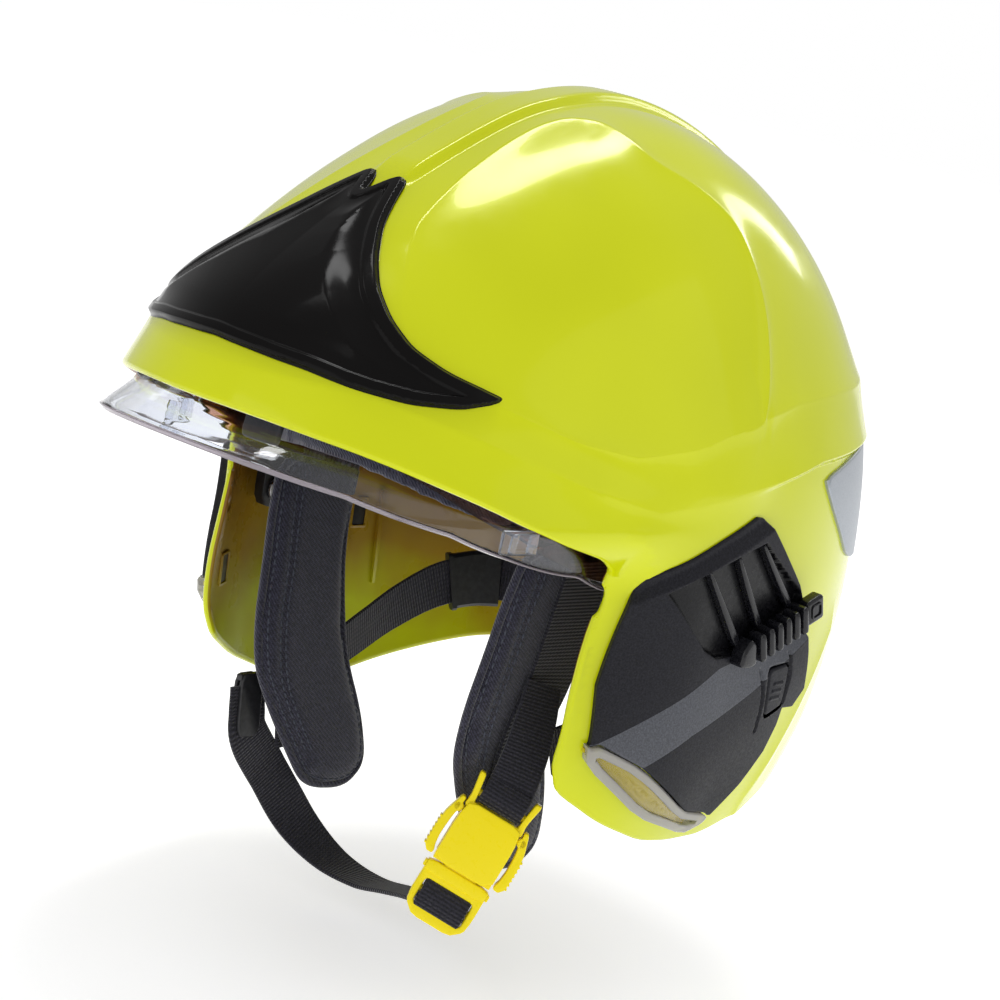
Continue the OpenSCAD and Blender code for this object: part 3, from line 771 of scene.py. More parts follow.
def shell_relief(p):
    """Height of the painted surface over the plain form."""
    angle, y, z = pivot_angle(p), p[:, 1], p[:, 2]
    rear = step(2, 30, y)
    crest = CREST_HEIGHT * (1 - step(-1.6, 4.2, crest_edge(p)))
    crest = crest * step(47, 55, angle) * (1 - step(122, 136, angle))
    behind_plate = 1 - step(100, 128, -y) * (1 - step(96, 112, z))
    dome = ridge(dome_edge(p), 1.7, 8) * (0.25 + 0.75 * behind_plate) * step(20, 34, z)
    belt = ridge(above(BELT)(p), 1.6, 9) * step(4, 12, y)
    low = above(BAND_LOW)(p)
    band = ridge(low, 1.0, 10) * (1 - rear) * step(15, 30, z)
    over_band, under_band = np.exp(-np.maximum(low, 0) / 14), 1 - 1.3 * step(0, 3, -low)
    overhang = rear * OVERHANG * np.where(low > 0, over_band, under_band)
    skirt = ridge(skirt_line(p), 1.5, 7) * step(60, 80, y - z * 0.1) * (1 - step(-38, -20, z))
    cheek = ridge(side_view(CHEEK_LIP, False)(p), 1.1, 6) * step(-84, -66, z) * step(-62, -48, y)
    return crest + dome + belt + band + overhang + skirt + cheek


def rounded_edge(distance, radius=1.7):
    """Drop of a surface towards an edge it meets in a quarter round."""
    inside = np.clip(1 + distance / radius, 0, 1)
    return radius * (1 - np.sqrt(1 - np.minimum(inside, 0.999) ** 2))


def outer_shell():
    patch = Patch(around, np.radians(np.linspace(-90, 270, 361)), np.radians(np.linspace(-89.6, 89.6, 144)))
    patch.keep(shell_edge)
    patch.cut(shell_edge, -0.25, -0.8, -1.7)
    patch.cut(crest_edge, -1.6, 0.0, 1.4, 2.8, 4.2)
    patch.cut(dome_edge, -0.8, 0.0, 0.8)
    patch.cut(above(BAND_LOW), -3.0, -1.5, 0.0, 0.8)
    patch.cut(above(BELT), -0.8, 0.0, 0.8)
    patch.cut(skirt_line, -0.8, 0.0, 0.8)

    def top(p):
        return shell_relief(p) - rounded_edge(shell_edge(p))

    def bottom(p):
        return rounded_edge(shell_edge(p), 1.2) - WALL
    # the inner face takes the inside finish, with its painted shade by height
    obj = thick("painted_shell", patch, top, bottom, SHELL_PAINT, SHELL_INSIDE_PAINTED_SHADE)
    return fit(obj, "helmet", "shell", "outer_shell")


PLATE = [
    (0, 111), (4, 116.5), (6.5, 118.5), (9.5, 117), (19.5, 103), (28, 93.5), (37, 84.5), (47, 76),
    (57, 68.5), (68, 62.5), (76, 59), (81, 56.5), (81.5, 54.5), (76, 51.2), (66, 50.5), (52, 52.3),
    (36, 55.5), (16, 57.5), (0, 58.5)]
WING_CREASE = [
    (7, 120), (7, 107), (10, 96), (14, 89), (20, 84), (26, 78), (33, 73), (43, 65), (53, 58), (60, 50)]


def front_plate():
    edge = front_view(soften(PLATE + [(-20, 58), (-20, 111)], 0.88, 2))
    wing = front_view(WING_CREASE, False)
    patch = Patch(around, np.radians(np.linspace(14, 58, 140)), np.radians(np.linspace(-58, 58, 250)))
    patch.keep(edge)
    patch.cut(edge, -0.5, -1.4, -3.4, -4.0, -4.6)
    patch.cut(lambda p: past(WING_CREASE, np.abs(p[:, 0]), p[:, 2]), 0.0)

    def top(p):
        d = -edge(p)
        rim = 1.2 + 2.3 * step(0, 1.4, d)
        panel = 0.9 * step(3.4, 4.4, d)
        return rim - panel + ridge(wing(p), 1.5, 9) * step(5, 12, d)
    obj = thick("front_plate_trim", patch, top, 0.3, PLATE_BLACK)
    return fit(obj, "helmet", "plate", "front_plate")


def brow_gasket():
    patch = Patch(around, np.radians(np.linspace(-4, 32, 90)), np.radians(np.linspace(-80, 80, 120)))
    patch.keep(lambda p: shell_edge(p) + 0.7).keep(lambda p: -(shell_edge(p) + 3.4))
    patch.keep(lambda p: p[:, 1] + 62)
    patch.cut(shell_edge, -1.3)
    return fit(thick("brow_gasket_strip", patch, -3.6, -5.4, RUBBER), "helmet", "gasket", "brow_gasket")


# ---------------------------------------------------------------- side covers
COVER = [
    (-44, -9), (-42, -4), (-36, 0), (8, 19), (12.5, 18.5), (21, 11), (43, -9), (49, -17), (51, -26),
    (56, -36), (63, -53), (57, -60), (48, -59), (48.5, -66), (46, -77), (37, -90), (25, -102), (20, -100),
    (6, -97), (-27, -75.5), (-44, -68.5), (-47, -69.5), (-48.5, -47)]
BEVEL_TOP = [(-60, -74), (-45, -68), (-1, -38.5), (50, -26), (60, -23)]
BEVEL_LOW = [(-60, -92), (-28, -76), (-10, -63), (20, -48.5), (52, -30.5), (60, -27)]
FLANGE = [(-60, -17), (-43, -13.5), (-36, -8), (-30, -4.5), (11.5, 12.5), (20, 16)]
RECESS = [
    (-34, -8), (-24, -2), (4, 7.5), (13, 10), (21, 4), (45, -12.5), (46, -18), (8, -34), (-4, -34.5),
    (-12, -31)]
FINS = [((-19, 0.5), (7, -30)), ((-3, 5), (19, -24)), ((11, 9), (38, -18))]
GROOVES = [((24, -41), (31, -66)), ((41, -35), (46, -56))]
# Heights over the shell: the cover at its lower bevel line, its gain up to the upper line, the drop of cover
# and lamp button towards the lens, the floor of the recess and that of the button's pocket.
COVER_LOW, COVER_GAIN, COVER_DROP, RECESS_FLOOR, POCKET_FLOOR = 4.2, 3.2, 1.6, 0.9, 0.8
BUTTON = soften([(29, -41), (42, -39.5), (45.5, -57), (34.5, -60.5)], 0.9, 2)
LENS_OUT = [
    (-48.5, -68.5), (-47, -69.9), (-44, -69), (-27, -76), (6, -97.6), (20, -100.6), (24.5, -102.6),
    (22, -105.5), (12, -108.5), (-19, -97.5), (-47, -76.5)]
PATCH = [(57, 30), (92, 37), (132, 38), (134, -12), (96, -6), (70, 16)]


def cover_height(p):
    """Relief of the side cover over the shell."""
    yz = p[:, 1:]
    edge = outline_distance(COVER, yz)
    top_line, low_line, flange_line = under(BEVEL_TOP)(p), under(BEVEL_LOW)(p), under(FLANGE)(p)
    ramp = np.clip(top_line / np.maximum(top_line - low_line, 0.1), 0, 1)
    body = COVER_LOW + COVER_GAIN * ramp - COVER_DROP * step(8, 46, low_line) * step(-10, 20, p[:, 1])
    flange = 1.4 + 2.8 * np.clip(flange_line / 4.5 + 1, 0, 1)
    high = np.where(flange_line < 0, flange, body)
    high = high + (np.minimum(RECESS_FLOOR, high) - high) * step(0, 1.4, -outline_distance(RECESS, yz))
    for a, b in np.array(GROOVES, float):
        bow = np.array([a, (a + b) / 2 + (1.5, 0.5), b])
        high = high - 1.3 * (1 - step(0.25, 1.1, outline_distance(bow, yz, False)))
    pocket = 1 - step(0.9, 1.3, outline_distance(BUTTON, yz))
    return high + (POCKET_FLOOR - high) * pocket - rounded_edge(edge, 1.0)


def side_cover(side):
    patch = Patch(beside, np.linspace(-50, 66, 130), np.linspace(-112, 22, 150))
    edge = side_view(COVER)
    patch.keep(edge)
    patch.cut(edge, -0.15, -0.5, -1.0)
    for line in (FLANGE, BEVEL_TOP, BEVEL_LOW):
        patch.cut(under(line), 0.0)
    patch.cut(side_view(RECESS), -1.4, 0.0)
    for a, b in np.array(GROOVES, float):
        ahead = (b - a) / np.linalg.norm(b - a)
        across = np.array([-ahead[1], ahead[0]])

        def beside_groove(p, a=a, b=b, across=across):
            return np.where(side_view([a, b], False)(p) < 9, (p[:, 1:] - a) @ across, 20.0)
        patch.cut(beside_groove, -0.8, 0.0, 0.8)
    patch.cut(side_view(BUTTON), 0.9, 1.3)
    name = f"side_cover_{side}_skin"
    obj = thick(name, patch, cover_height, 0.35, COVER_BLACK, mirror=side == "right")
    middles = beside(patch.uv[patch.tris].mean(1))
    marks = np.zeros(len(obj.data.polygons), np.int32)
    on_top = marks[:len(middles)]
    # faces on the sloping bevel band take the lighter copy of the cover black: painted light
    on_top[(under(BEVEL_TOP)(middles) > 0) & (under(BEVEL_LOW)(middles) < 0)] = 2
    # faces in the recess take the darker copy of the cover black: painted shade
    on_top[side_view(RECESS)(middles) < 0] = 3
    obj.data.materials.append(COVER_BEVEL_PAINTED_LIGHT)
    obj.data.materials.append(RECESS_BLACK_PAINTED_SHADE)
    obj.data.polygons.foreach_set("material_index", marks)
    kit = Kit(RACK_BLACK)
    kit.parts.append(obj)
    for a, b in np.array(FINS, float):
        half = np.linalg.norm(b - a) / 2
        d = (b - a) / (2 * half)
        kit.place = on_wall(*(a + b) / 2, side)
        blade = [(-1.1, half), (0.9, half), (2.4, -half), (-1.4, -half)]
        lean = [(-d[0] * y - d[1] * x, -d[1] * y + d[0] * x) for x, y in blade]
        kit.add(soften(lean, 0.85, 1), 0.5, 4.4, 1.0, 3)
    return kit.fit(name, "helmet", "cover", f"side_cover_{side}")


def side_grid(outline, spacing):
    low, high = outline.min(0) - 1, outline.max(0) + 1
    return Patch(beside, *(np.arange(a, b + spacing, spacing) for a, b in zip(low, high)))


def side_patch(name, side, outline, top, bottom, material, spacing=1.6):
    """Sheet on the side of the shell; top gives its height at each distance from its edge."""
    edge = side_view(outline)
    patch = side_grid(outline, spacing).keep(edge)
    patch.cut(edge, -0.3, -1.0, -3.0)
    return thick(name, patch, lambda p: top(-edge(p)), bottom, material, mirror=side == "right")


def lamp(side):
    rim_width = 3.2
    lens = soften(LENS_OUT, 0.85, 1)
    edge = side_view(lens)
    patch = side_grid(lens, 1.2).keep(edge).keep(lambda p: -(edge(p) + rim_width))
    patch.cut(edge, -0.3, -1.0, -2.4)

    def rim_height(p):
        return 5.8 - rounded_edge(edge(p), 1.0) - rounded_edge(-(edge(p) + rim_width), 0.8)
    rim = thick("rim", patch, rim_height, 0.5, LENS_RIM, mirror=side == "right")
    window = side_patch("window", side, inset(lens, 3.0), lambda d: 4.2 + 0.8 * step(0, 3, d), 3.4, LENS)
    fit(merged(f"lamp_lens_{side}_cover", [rim, window]), "helmet", "lens", f"lamp_lens_{side}")
    name = f"lamp_reflector_{side}"
    bowl = inset(lens, 3.3)
    tray = side_patch(f"{name}_tray", side, bowl, lambda d: 2.6 - 1.6 * step(1, 4, d), 0.4, AMBER)
    fit(tray, "helmet", "reflector", name)


def reflective(side):
    def height(d):
        return 0.35 + 0.55 * step(0, 0.8, d)
    film = side_patch(f"reflective_{side}_film", side, soften(PATCH, 0.85, 2), height, -1.7, SILVER, 2.4)
    return fit(film, "helmet", "reflective", f"reflective_patch_{side}")


def mask_rack(side):
    kit = Kit(RACK_BLACK, side_place(side, sideways(120.6, 27, -25.5, 20)))
    kit.add(box_outline(-20, 27, -4.4, 0.5, 1.5), 0, 4.4, 0.8)
    for i in range(6):
        x = -12 + i * 5.2
        rib = [(x - 1.6, -5.8), (x + 1.6, -5.8), (x + 1.8, 2), (x + 1.1, 5.6), (x - 1.1, 5.6), (x - 1.8, 2)]
        kit.add(soften(rib, 0.8, 1), 0.6, 8.4, 1.5, 4)
    start = [(-25, -3), (-19.5, -6), (-15.4, -6), (-14.8, 3), (-17.5, 5.4), (-22, 2.5)]
    kit.add(soften(start, 0.85, 1), 0, 7.0, 1.3, 3)
    kit.add(box_outline(18.4, 28.5, -5.8, 4.6, 1.6), 0, 5.4, 1.2, 3)
    emboss = box_outline(20.4, 26.6, -3.6, 2.4, 1.3)
    kit.add(emboss, 5.2, 6.0, 0.2, holes=[box_outline(21.2, 25.8, -2.8, 1.6, 0.8)])
    return kit.fit(f"mask_rack_{side}_ribs", "helmet", "cover", f"mask_rack_{side}")


def lamp_button(side):
    """Flush panel in its pocket between the two grooves of the cover, with three raised bars."""
    edge = side_view(BUTTON)
    patch = Patch(beside, np.linspace(28, 47, 26), np.linspace(-62, -38, 32)).keep(edge)
    patch.cut(edge, -0.4, -0.9)
    bars = [side_view(box_outline(34, 41, z - 0.6, z + 0.6, 0.5)) for z in (-53, -50, -47)]
    for bar in bars:
        patch.cut(bar, -0.25, 0.25)

    def top(p):
        raised = sum(1 - step(-0.25, 0.25, bar(p)) for bar in bars)
        slope = COVER_LOW + COVER_GAIN - COVER_DROP * step(8, 46, under(BEVEL_LOW)(p))
        return slope + 0.5 * raised - rounded_edge(edge(p), 0.9)
    pad = thick(f"lamp_button_{side}_pad", patch, top, 3.0, COVER_BLACK, mirror=side == "right")
    return fit(pad, f"lamp_button_{side}_body", "button", f"lamp_button_{side}")


# ---------------------------------------------------------------- forms inside the shell
LINER_R = np.array([
    134, 135, 137, 138, 143, 146, 145, 140, 134, 128, 124, 122, 122, 124, 128, 130, 132, 133.0])
LINER_N = np.array([
    2.3, 2.3, 2.3, 2.3, 2.3, 2.3, 2.3, 2.4, 2.5, 2.6, 2.6, 2.6, 2.6, 2.6, 2.5, 2.4, 2.3, 2.3])
HEAD_R = np.array([
    101, 108, 116, 122, 127, 129, 126, 120, 113, 107, 104, 104, 106, 110, 112, 110, 104, 101.0])
HEAD_N = np.array([
    2.3, 2.3, 2.3, 2.3, 2.3, 2.3, 2.3, 2.4, 2.4, 2.4, 2.4, 2.4, 2.4, 2.4, 2.4, 2.4, 2.3, 2.3])


def form(half, radius, roundness, flare=0.0):
    """A chart like around() for another round form; flare widens it behind the ears."""
    def chart(uv):
        x, y, z = rounded(half, radius, roundness, uv)
        return np.stack([x * (1 + flare * step(25, 60, y)), y, z], 1)
    CHART_STEP[chart] = 1e-3
    return chart


def profile(points):
    """Radius over the pivot angle, its corners a little rounded."""
    degrees, radii = np.array(points, float).T
    near = (-2, -1.2, -0.4, 0.4, 1.2, 2)
    return lambda theta: sum(np.interp(np.degrees(theta) + k, degrees, radii) for k in near) / len(near)


liner_form = form(84, from_table(LINER_R), from_table(LINER_N), 0.22)
head_form = form(76, from_table(HEAD_R), from_table(HEAD_N))
SIDES = np.radians(np.linspace(-89.6, 89.6, 120))
LINER_EDGE = [
    (-230, 50), (-95, 34), (-55, 14), (-24, 4), (20, 0), (45, -14), (66, -26), (96, -33), (180, -33),
    (180, 230), (-230, 230)]
BAND = [
    (-120, 46), (-60, 21), (0, -3), (60, -33), (120, -64), (120, -34), (60, -7), (0, 21), (-60, 46),
    (-120, 72)]


def impact_liner():
    patch = Patch(liner_form, np.radians(np.linspace(0, 220, 150)), SIDES).keep(side_view(LINER_EDGE))
    return fit(thick("foam_liner", patch, -0.2, head_form, FOAM), "helmet", "liner", "impact_liner")


def headband():
    edge = side_view(soften(BAND, 0.9, 1))
    patch = Patch(head_form, np.radians(np.linspace(0, 360, 181)), SIDES).keep(edge)
    for y in range(-70, 80, 12):
        z = np.interp(y, [-120, -60, 0, 60, 120], [59, 33.5, 9, -20, -49])
        slot = side_view(box_outline(y - 3.5, y + 3.5, z - 2, z + 2, 1.8, 3))
        # the front and the back, within 30 mm of the middle, stay whole
        patch.keep(lambda p, slot=slot: np.where(np.abs(p[:, 0]) < 30, -1000, 0) - slot(p))
    patch.cut(edge, -1.5)

    def top(p):
        return -0.5 - 0.5 * step(-3, -1, -np.abs(edge(p) + 2.5))
    return fit(thick("headband_strip", patch, top, -2.3, RACK_BLACK), "helmet", "band", "headband")


def on_head(theta, beta, lift):
    return head_form(np.array([[theta, beta]]))[0] * (1 + lift / 125)


def across_head(y, lift, count=40):
    """Path over the head form from side to side, in the plane at y."""
    out = []
    for beta in math.radians(76) * np.linspace(-1, 1, count):
        low, high = math.radians(20), math.radians(160)
        for _ in range(30):
            mid = (low + high) / 2
            ahead = on_head(mid, beta, 0)[1] < y
            low, high = (mid, high) if ahead else (low, mid)
        out.append(on_head((low + high) / 2, beta, lift))
    return np.array(out)


def crown_cradle():
    front_to_back = [on_head(theta, 0.0, -1.1) for theta in np.radians(np.linspace(38, 140, 40))]
    straps = [ribbon("strap", front_to_back, [(1, 0, 0)] * 2, 18, 1.2, STRAP_WEB, 60)]
    for y in (-25, 27):
        straps.append(ribbon("strap", across_head(y, -1.0)[4:-4], [(0, 1, 0)] * 2, 18, 1.2, STRAP_WEB, 60))
    return fit(merged("crown_cradle_straps", straps), "helmet", "webbing", "crown_cradle")


NAPE_SIDE = [
    (61, -13, -92), (65, 8, -85), (67, 30, -76), (64.5, 52, -67), (56, 70, -62), (42, 81, -61),
    (22, 87, -61)]


def nape_band():
    path = NAPE_SIDE + [(0, 89, -61)] + [(-x, y, z) for x, y, z in NAPE_SIDE[::-1]]
    parts = [ribbon("nape_strap", path, [(0, 0.15, 1)] * 2, 19.6, 1.6, STRAP_WEB, 150)]
    for k in (1, -1):
        sleeve = [(k * 62.8, 58, -65.4), (k * 57.6, 67, -63), (k * 51, 75, -61.8)]
        parts.append(ribbon("sleeve", sleeve, [(0, 0.15, 1)] * 2, 24, 4.4, SATIN_BLACK, 16, 1.4))
        end = [(k * 63.4, 57, -65.7), (k * 62.4, 58.8, -65.2)]
        parts.append(ribbon("sleeve_lip", end, [(0, 0.15, 1)] * 2, 25, 5.4, SATIN_BLACK, 4, 1.0))
    return fit(merged("nape_strap_with_sleeves", parts), "helmet", "webbing", "nape_band")


# ---------------------------------------------------------------- padded pieces
# Depth of a sewn channel, and how far it reaches to each side.
CHANNEL, CHANNEL_REACH = 0.7, 1.8


def stuff(obj, voxel, cap):
    """Swells a closed form by cloth simulation; no point moves further than cap."""
    remesh = obj.modifiers.new("remesh", "REMESH")
    remesh.mode, remesh.voxel_size = "VOXEL", voxel * MM
    apply_all(obj)
    rest = read_points(obj.data)
    cloth = obj.modifiers.new("cloth", "CLOTH")
    cloth.settings.use_pressure = True
    cloth.settings.uniform_pressure_force = 4
    cloth.settings.quality = 4
    cloth.settings.effector_weights.gravity = 0
    scene = bpy.context.scene
    for frame_number in range(1, 21):
        scene.frame_set(frame_number)
    swollen = read_points(obj.evaluated_get(bpy.context.evaluated_depsgraph_get()).data)
    obj.modifiers.remove(cloth)
    scene.frame_set(1)
    move = swollen - rest
    length = np.linalg.norm(move, axis=1)[:, None]
    move *= np.minimum(1, cap * MM / np.maximum(length, 1e-9))
    set_points(obj, rest + move)
    finer = obj.modifiers.new("finer", "SUBSURF")
    finer.levels = finer.render_levels = 1
    apply_all(obj)
    smooth(obj, None)
    return obj


def apply_all(obj):
    bpy.context.view_layer.update()
    mesh = bpy.data.meshes.new_from_object(obj.evaluated_get(bpy.context.evaluated_depsgraph_get()))
    obj.modifiers.clear()
    obj.data = mesh


def read_points(mesh):
    out = np.empty(len(mesh.vertices) * 3)
    mesh.vertices.foreach_get("co", out)
    return out.reshape(-1, 3)


def set_points(obj, points):
    obj.data.vertices.foreach_set("co", points.ravel())
    obj.data.update()


def stitches(name, surface, path, direction, pitch=3.4, length=2.3, lift=0.15):
    """Short threads along a path, dropped on a surface along a direction; everything in mm."""
    tree = BVHTree.FromObject(surface, bpy.context.evaluated_depsgraph_get())
    pts = curve_through(path, 400)
    run = length_along(pts)
    down = Vector(direction).normalized()
    verts, faces = [], []
    for at in np.arange(pitch, run[-1] - pitch, pitch):
        ends = []
        for k in np.linspace(-length / 2, length / 2, 4):
            p = np.array([np.interp(at + k, run, pts[:, i]) for i in range(3)])
            hit = tree.ray_cast(Vector(p * MM) - down * 0.03, down, 0.06)
            if hit[0] is None:
                break
            ends.append(np.array(hit[0]) / MM - np.array(down) * lift)
        if len(ends) < 4:
            continue
        line = np.array(ends)
        ahead = line[-1] - line[0]
        ahead /= np.linalg.norm(ahead)
        side = np.cross(ahead, down)
        up = -np.array(down)
        first = len(verts)
        for p, r in zip(line, (0.2, 0.42, 0.42, 0.2)):
            for a in np.linspace(0, 2 * math.pi, 6, endpoint=False):
                verts.append(p + (side * math.cos(a) + up * math.sin(a)) * r)
        faces += ring_faces(len(line), 6, first=first)
    return mesh_object(name, verts, faces, [THREAD], 60)


EAR_PAD = [
    (-58, -4), (-62, -28), (-63, -48), (-65, -72), (-63, -92), (-54, -109), (-42.5, -127), (-30, -145),
    (-5, -148), (7, -138), (2, -116), (-10, -90), (-14, -68), (-16, -48), (-15, -30), (-10, -6)]
LEAN = Matrix.Translation((66, 0, 0)) @ Matrix.Rotation(math.radians(7.4), 4, "Y") @ sideways()


def inset(outline, amount):
    """Outline moved inwards."""
    pts = np.asarray(outline, float)
    along = unit(np.roll(pts, -1, 0) - np.roll(pts, 1, 0))
    inward = np.stack([-along[:, 1], along[:, 0]], 1)
    area = (pts[:, 0] * np.roll(pts[:, 1], -1) - np.roll(pts[:, 0], -1) * pts[:, 1]).sum()
    return pts + inward * amount * (1 if area > 0 else -1)


def ear_pads():
    outline = soften(EAR_PAD, 0.78, 3)
    pad = flat_solid([inset(outline, 0.2)], -3.4, 3.4, PAD_CLOTH, bevel=2.0, segments=3)
    stuff(pad, 4, 1.5)
    front_seam = [(-48, -6), (-51.5, -30), (-52.5, -50), (-54, -74), (-51, -96), (-42, -114), (-30, -132)]
    ring = np.vstack([inset(outline, 4.5), inset(outline, 4.5)[:1]])
    pts = read_points(pad.data) / MM
    depth = 0.9 * np.exp(-(outline_distance(front_seam, pts[:, :2], False) / CHANNEL_REACH) ** 2)
    depth += CHANNEL * np.exp(-(outline_distance(ring, pts[:, :2], False) / CHANNEL_REACH) ** 2)
    pts[:, 2] -= np.sign(pts[:, 2]) * np.minimum(depth, np.abs(pts[:, 2]) * 0.5)
    pts[:, 2] = np.clip(pts[:, 2], -4.9, 4.5)
    set_points(pad, pts * MM)
    edge = np.column_stack([inset(outline, 2.1), 0 * outline[:, 0]])
    piping = tube("piping", edge, 1.7, PAD_CLOTH, 10, True)
    threads = []
    for w, way in ((-10, (0, 0, 1)), (10, (0, 0, -1))):
        for line in (front_seam, [(y + 2.6, z) for y, z in front_seam], ring):
            path = [(y, z, w) for y, z in line]
            threads.append(stitches("stitch", pad, path, way))
    parts = merged("ear_pad_parts", [pad, piping, *threads])
    for side in BOTH:
        obj = parts.copy()
        obj.data = parts.data.copy()
        obj.name = f"ear_pad_{side}_cushion"
        bpy.context.scene.collection.objects.link(obj)
        place_mesh(obj, side_place(side, LEAN))
        fit(obj, "helmet", "pad", f"ear_pad_{side}")
    bpy.data.objects.remove(parts)


def place_mesh(obj, matrix):
    """Moves a mesh by a matrix in mm, keeping its faces outward when it mirrors."""
    scale = Matrix.Scale(MM, 4)
    obj.data.transform(scale @ matrix @ scale.inverted())
    if matrix.determinant() < 0:
        obj.data.flip_normals()


def head_pad(name, node, field, spread, angles, low, high, seam):
    """Cushion on the head form between two depths, with a channel sewn where the seam field is 0."""
    spans = np.linspace(*angles, 70), np.linspace(-spread, spread, 90)
    patch = Patch(head_form, *map(np.radians, spans)).keep(field)

    def drop(p):
        return 0.6 * (1 - step(0, 4, -field(p)))
    obj = thick(name, patch, lambda p: high - drop(p), lambda p: low + drop(p), PAD_CLOTH)
    stuff(obj, 2.0, 0.8)
    pts = read_points(obj.data) / MM
    depth = CHANNEL * np.exp(-(seam(pts) / CHANNEL_REACH) ** 2)
    set_points(obj, (pts + unit(pts) * depth[:, None]) * MM)
    fit(obj, "helmet", "pad", node)


BROW_PAD = [(-120, 17), (-86, 4), (-64, -1), (-58, 10), (-54, 30), (-60, 52), (-120, 70)]
NAPE = [(70, -36), (120, -62), (120, -36), (70, -14)]


def head_pads():
    nape_side = side_view(inset(NAPE, 1.0))

    def nape(p):
        return np.maximum(nape_side(p), np.abs(p[:, 0]) - 53)

    def crown(p):
        return np.maximum(np.hypot(p[:, 0], p[:, 1]) - 40.5, 40 - p[:, 2])
    brow = side_view(inset(soften(BROW_PAD, 0.85, 1), 1.0))
    head_pad("forehead_cushion", "forehead_pad", brow, 86, (-6, 60), -8.0, -3.6,
             lambda p: np.abs(np.abs(p[:, 0]) - 30))
    head_pad("nape_cushion", "nape_pad", nape, 60, (185, 225), -7.2, -3.6, lambda p: np.abs(p[:, 0]))
    head_pad("crown_cushion", "crown_pad", crown, 60, (50, 130), -7.1, -3.3,
             lambda p: np.abs(np.hypot(p[:, 0], p[:, 1]) - 20))


# ---------------------------------------------------------------- straps and buckle
# The buckle's middle, its long axis, the way its face looks, and its cross axis.
BUCKLE_AT = np.array([68.6, -59.6, -126])
BU = np.array([0.149, 0.369, 0.917])
BUCKLE_FACE = np.array([0.62, -0.75, 0.2])
BW = unit((BUCKLE_FACE - BUCKLE_FACE @ BU * BU)[None])[0]
BV = np.cross(BU, BW)
IN_BUCKLE = basis(BV, BU, BW, BUCKLE_AT)
STRAP = [
    (-60.8, -50, -127), (-58.5, -40, -139), (-50, -26, -160), (-35, -18, -172), (-16, -15, -175),
    (3, -17, -171), (20, -22, -167), (37, -32, -163), (50, -47, -158), (59.8, -63.4, -152)]
STRAP_WIDE = [
    (0.1, 1, 0.4), (0.1, 1, 0.4), (0.2, 1, 0.3), (0.1, 1, 0.2), (0, 1, 0.1), (0.1, 1, 0), (0.3, 1, 0),
    (0.5, 0.9, -0.1), (0.65, 0.75, -0.25), (0.77, 0.54, -0.34)]
TAIL = [(72.4, -50.2, -102.6), (73, -47, -95), (72, -42, -84), (69.5, -37, -72), (66.8, -33, -60)]
TAIL_WIDE = [(0.77, 0.54, -0.34), (0.77, 0.54, -0.34), (0.5, 0.8, -0.2), (0.2, 1, 0), (0.1, 1, 0)]


def in_buckle(x, y, z):
    return BUCKLE_AT + BV * x + BU * y + BW * z


def chin_strap():
    held = [(-56, -101), (-55.5, -112), (-53.5, -122)]
    clamp = [tuple(mirrored(LEAN) @ Vector((y, z, 9.6))) for y, z in held]
    wide = [(0, 1, 0.1)] * 2 + STRAP_WIDE
    strap = ribbon("long_chin_strap", clamp + STRAP[1:], wide, 19, 1.7, STRAP_WEB, 130)
    turn = [(-27, 1.2), (-23, 3), (-18.5, 3.4), (-14.6, 1.8), (-14.2, -1.2), (-18.5, -3), (-22.5, -2.7)]
    keeper = [in_buckle(0, y, z) for y, z in turn]
    keeper = ribbon("keeper", keeper, [tuple(BV)] * 2, 19.4, 1.3, STRAP_WEB, 44)
    fit(keeper, "buckle_tongue_body", "webbing")
    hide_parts("chin_strap")
    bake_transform(strap)


def frame_webbing():
    tail = ribbon("tail", TAIL, TAIL_WIDE, 18, 1.8, STRAP_WEB, 50)
    upper = [(31, 0.6), (27.5, 2.2), (24.4, 2.9), (21.6, 1.6)]
    lower = [(20.9, 0), (21.6, -1.6), (24.4, -2.9), (27.5, -2.2), (31, -0.8)]
    loop = [in_buckle(0, y, z) for y, z in upper + lower]
    roll = ribbon("roll", loop, [tuple(BV)] * 2, 18, 1.3, STRAP_WEB, 48)
    return fit(merged("ear_webbing_tail", [tail, roll]), "helmet", "webbing", "frame_webbing")


def side_webbing(side):
    place = side_place(side, LEAN)
    line = [(-24, -10), (-25, -35), (-26.5, -60), (-31, -84), (-28, -127)]
    path = [place @ Vector((y, z, 5.8)) for y, z in line]
    wide = [place.to_3x3() @ Vector((1, 0, 0))] * 2
    strap = ribbon(f"side_webbing_{side}_strap", path, wide, 27, 1.6, STRAP_WEB, 70)
    return fit(strap, "helmet", "webbing", f"side_webbing_{side}")


def strap_anchor():
    kit = Kit(SATIN_BLACK, mirrored(LEAN))
    outline = soften([(-62, -122), (-50, -122), (-50, -96), (-62, -96)], 0.85, 2)
    kit.add(outline, 6.9, 9.0, 0.6)
    kit.add(outline, 10.2, 11.8, 0.5)
    kit.add(box_outline(-61.6, -50.4, -99, -96.2, 0.8), 8, 11, 0.3)
    for z in (-117, -113, -109, -105, -101):
        kit.add(box_outline(-60, -52, z - 0.6, z + 0.6, 0.5), 11.2, 12.2, 0.3)
    return kit.fit("strap_anchor_slider", "helmet", "bracket", "strap_anchor")


def buckle_tube(y, radius):
    return tube("bar", [in_buckle(x, y, 0) for x in np.linspace(-11, 11, 5)], radius, BUCKLE, 16)


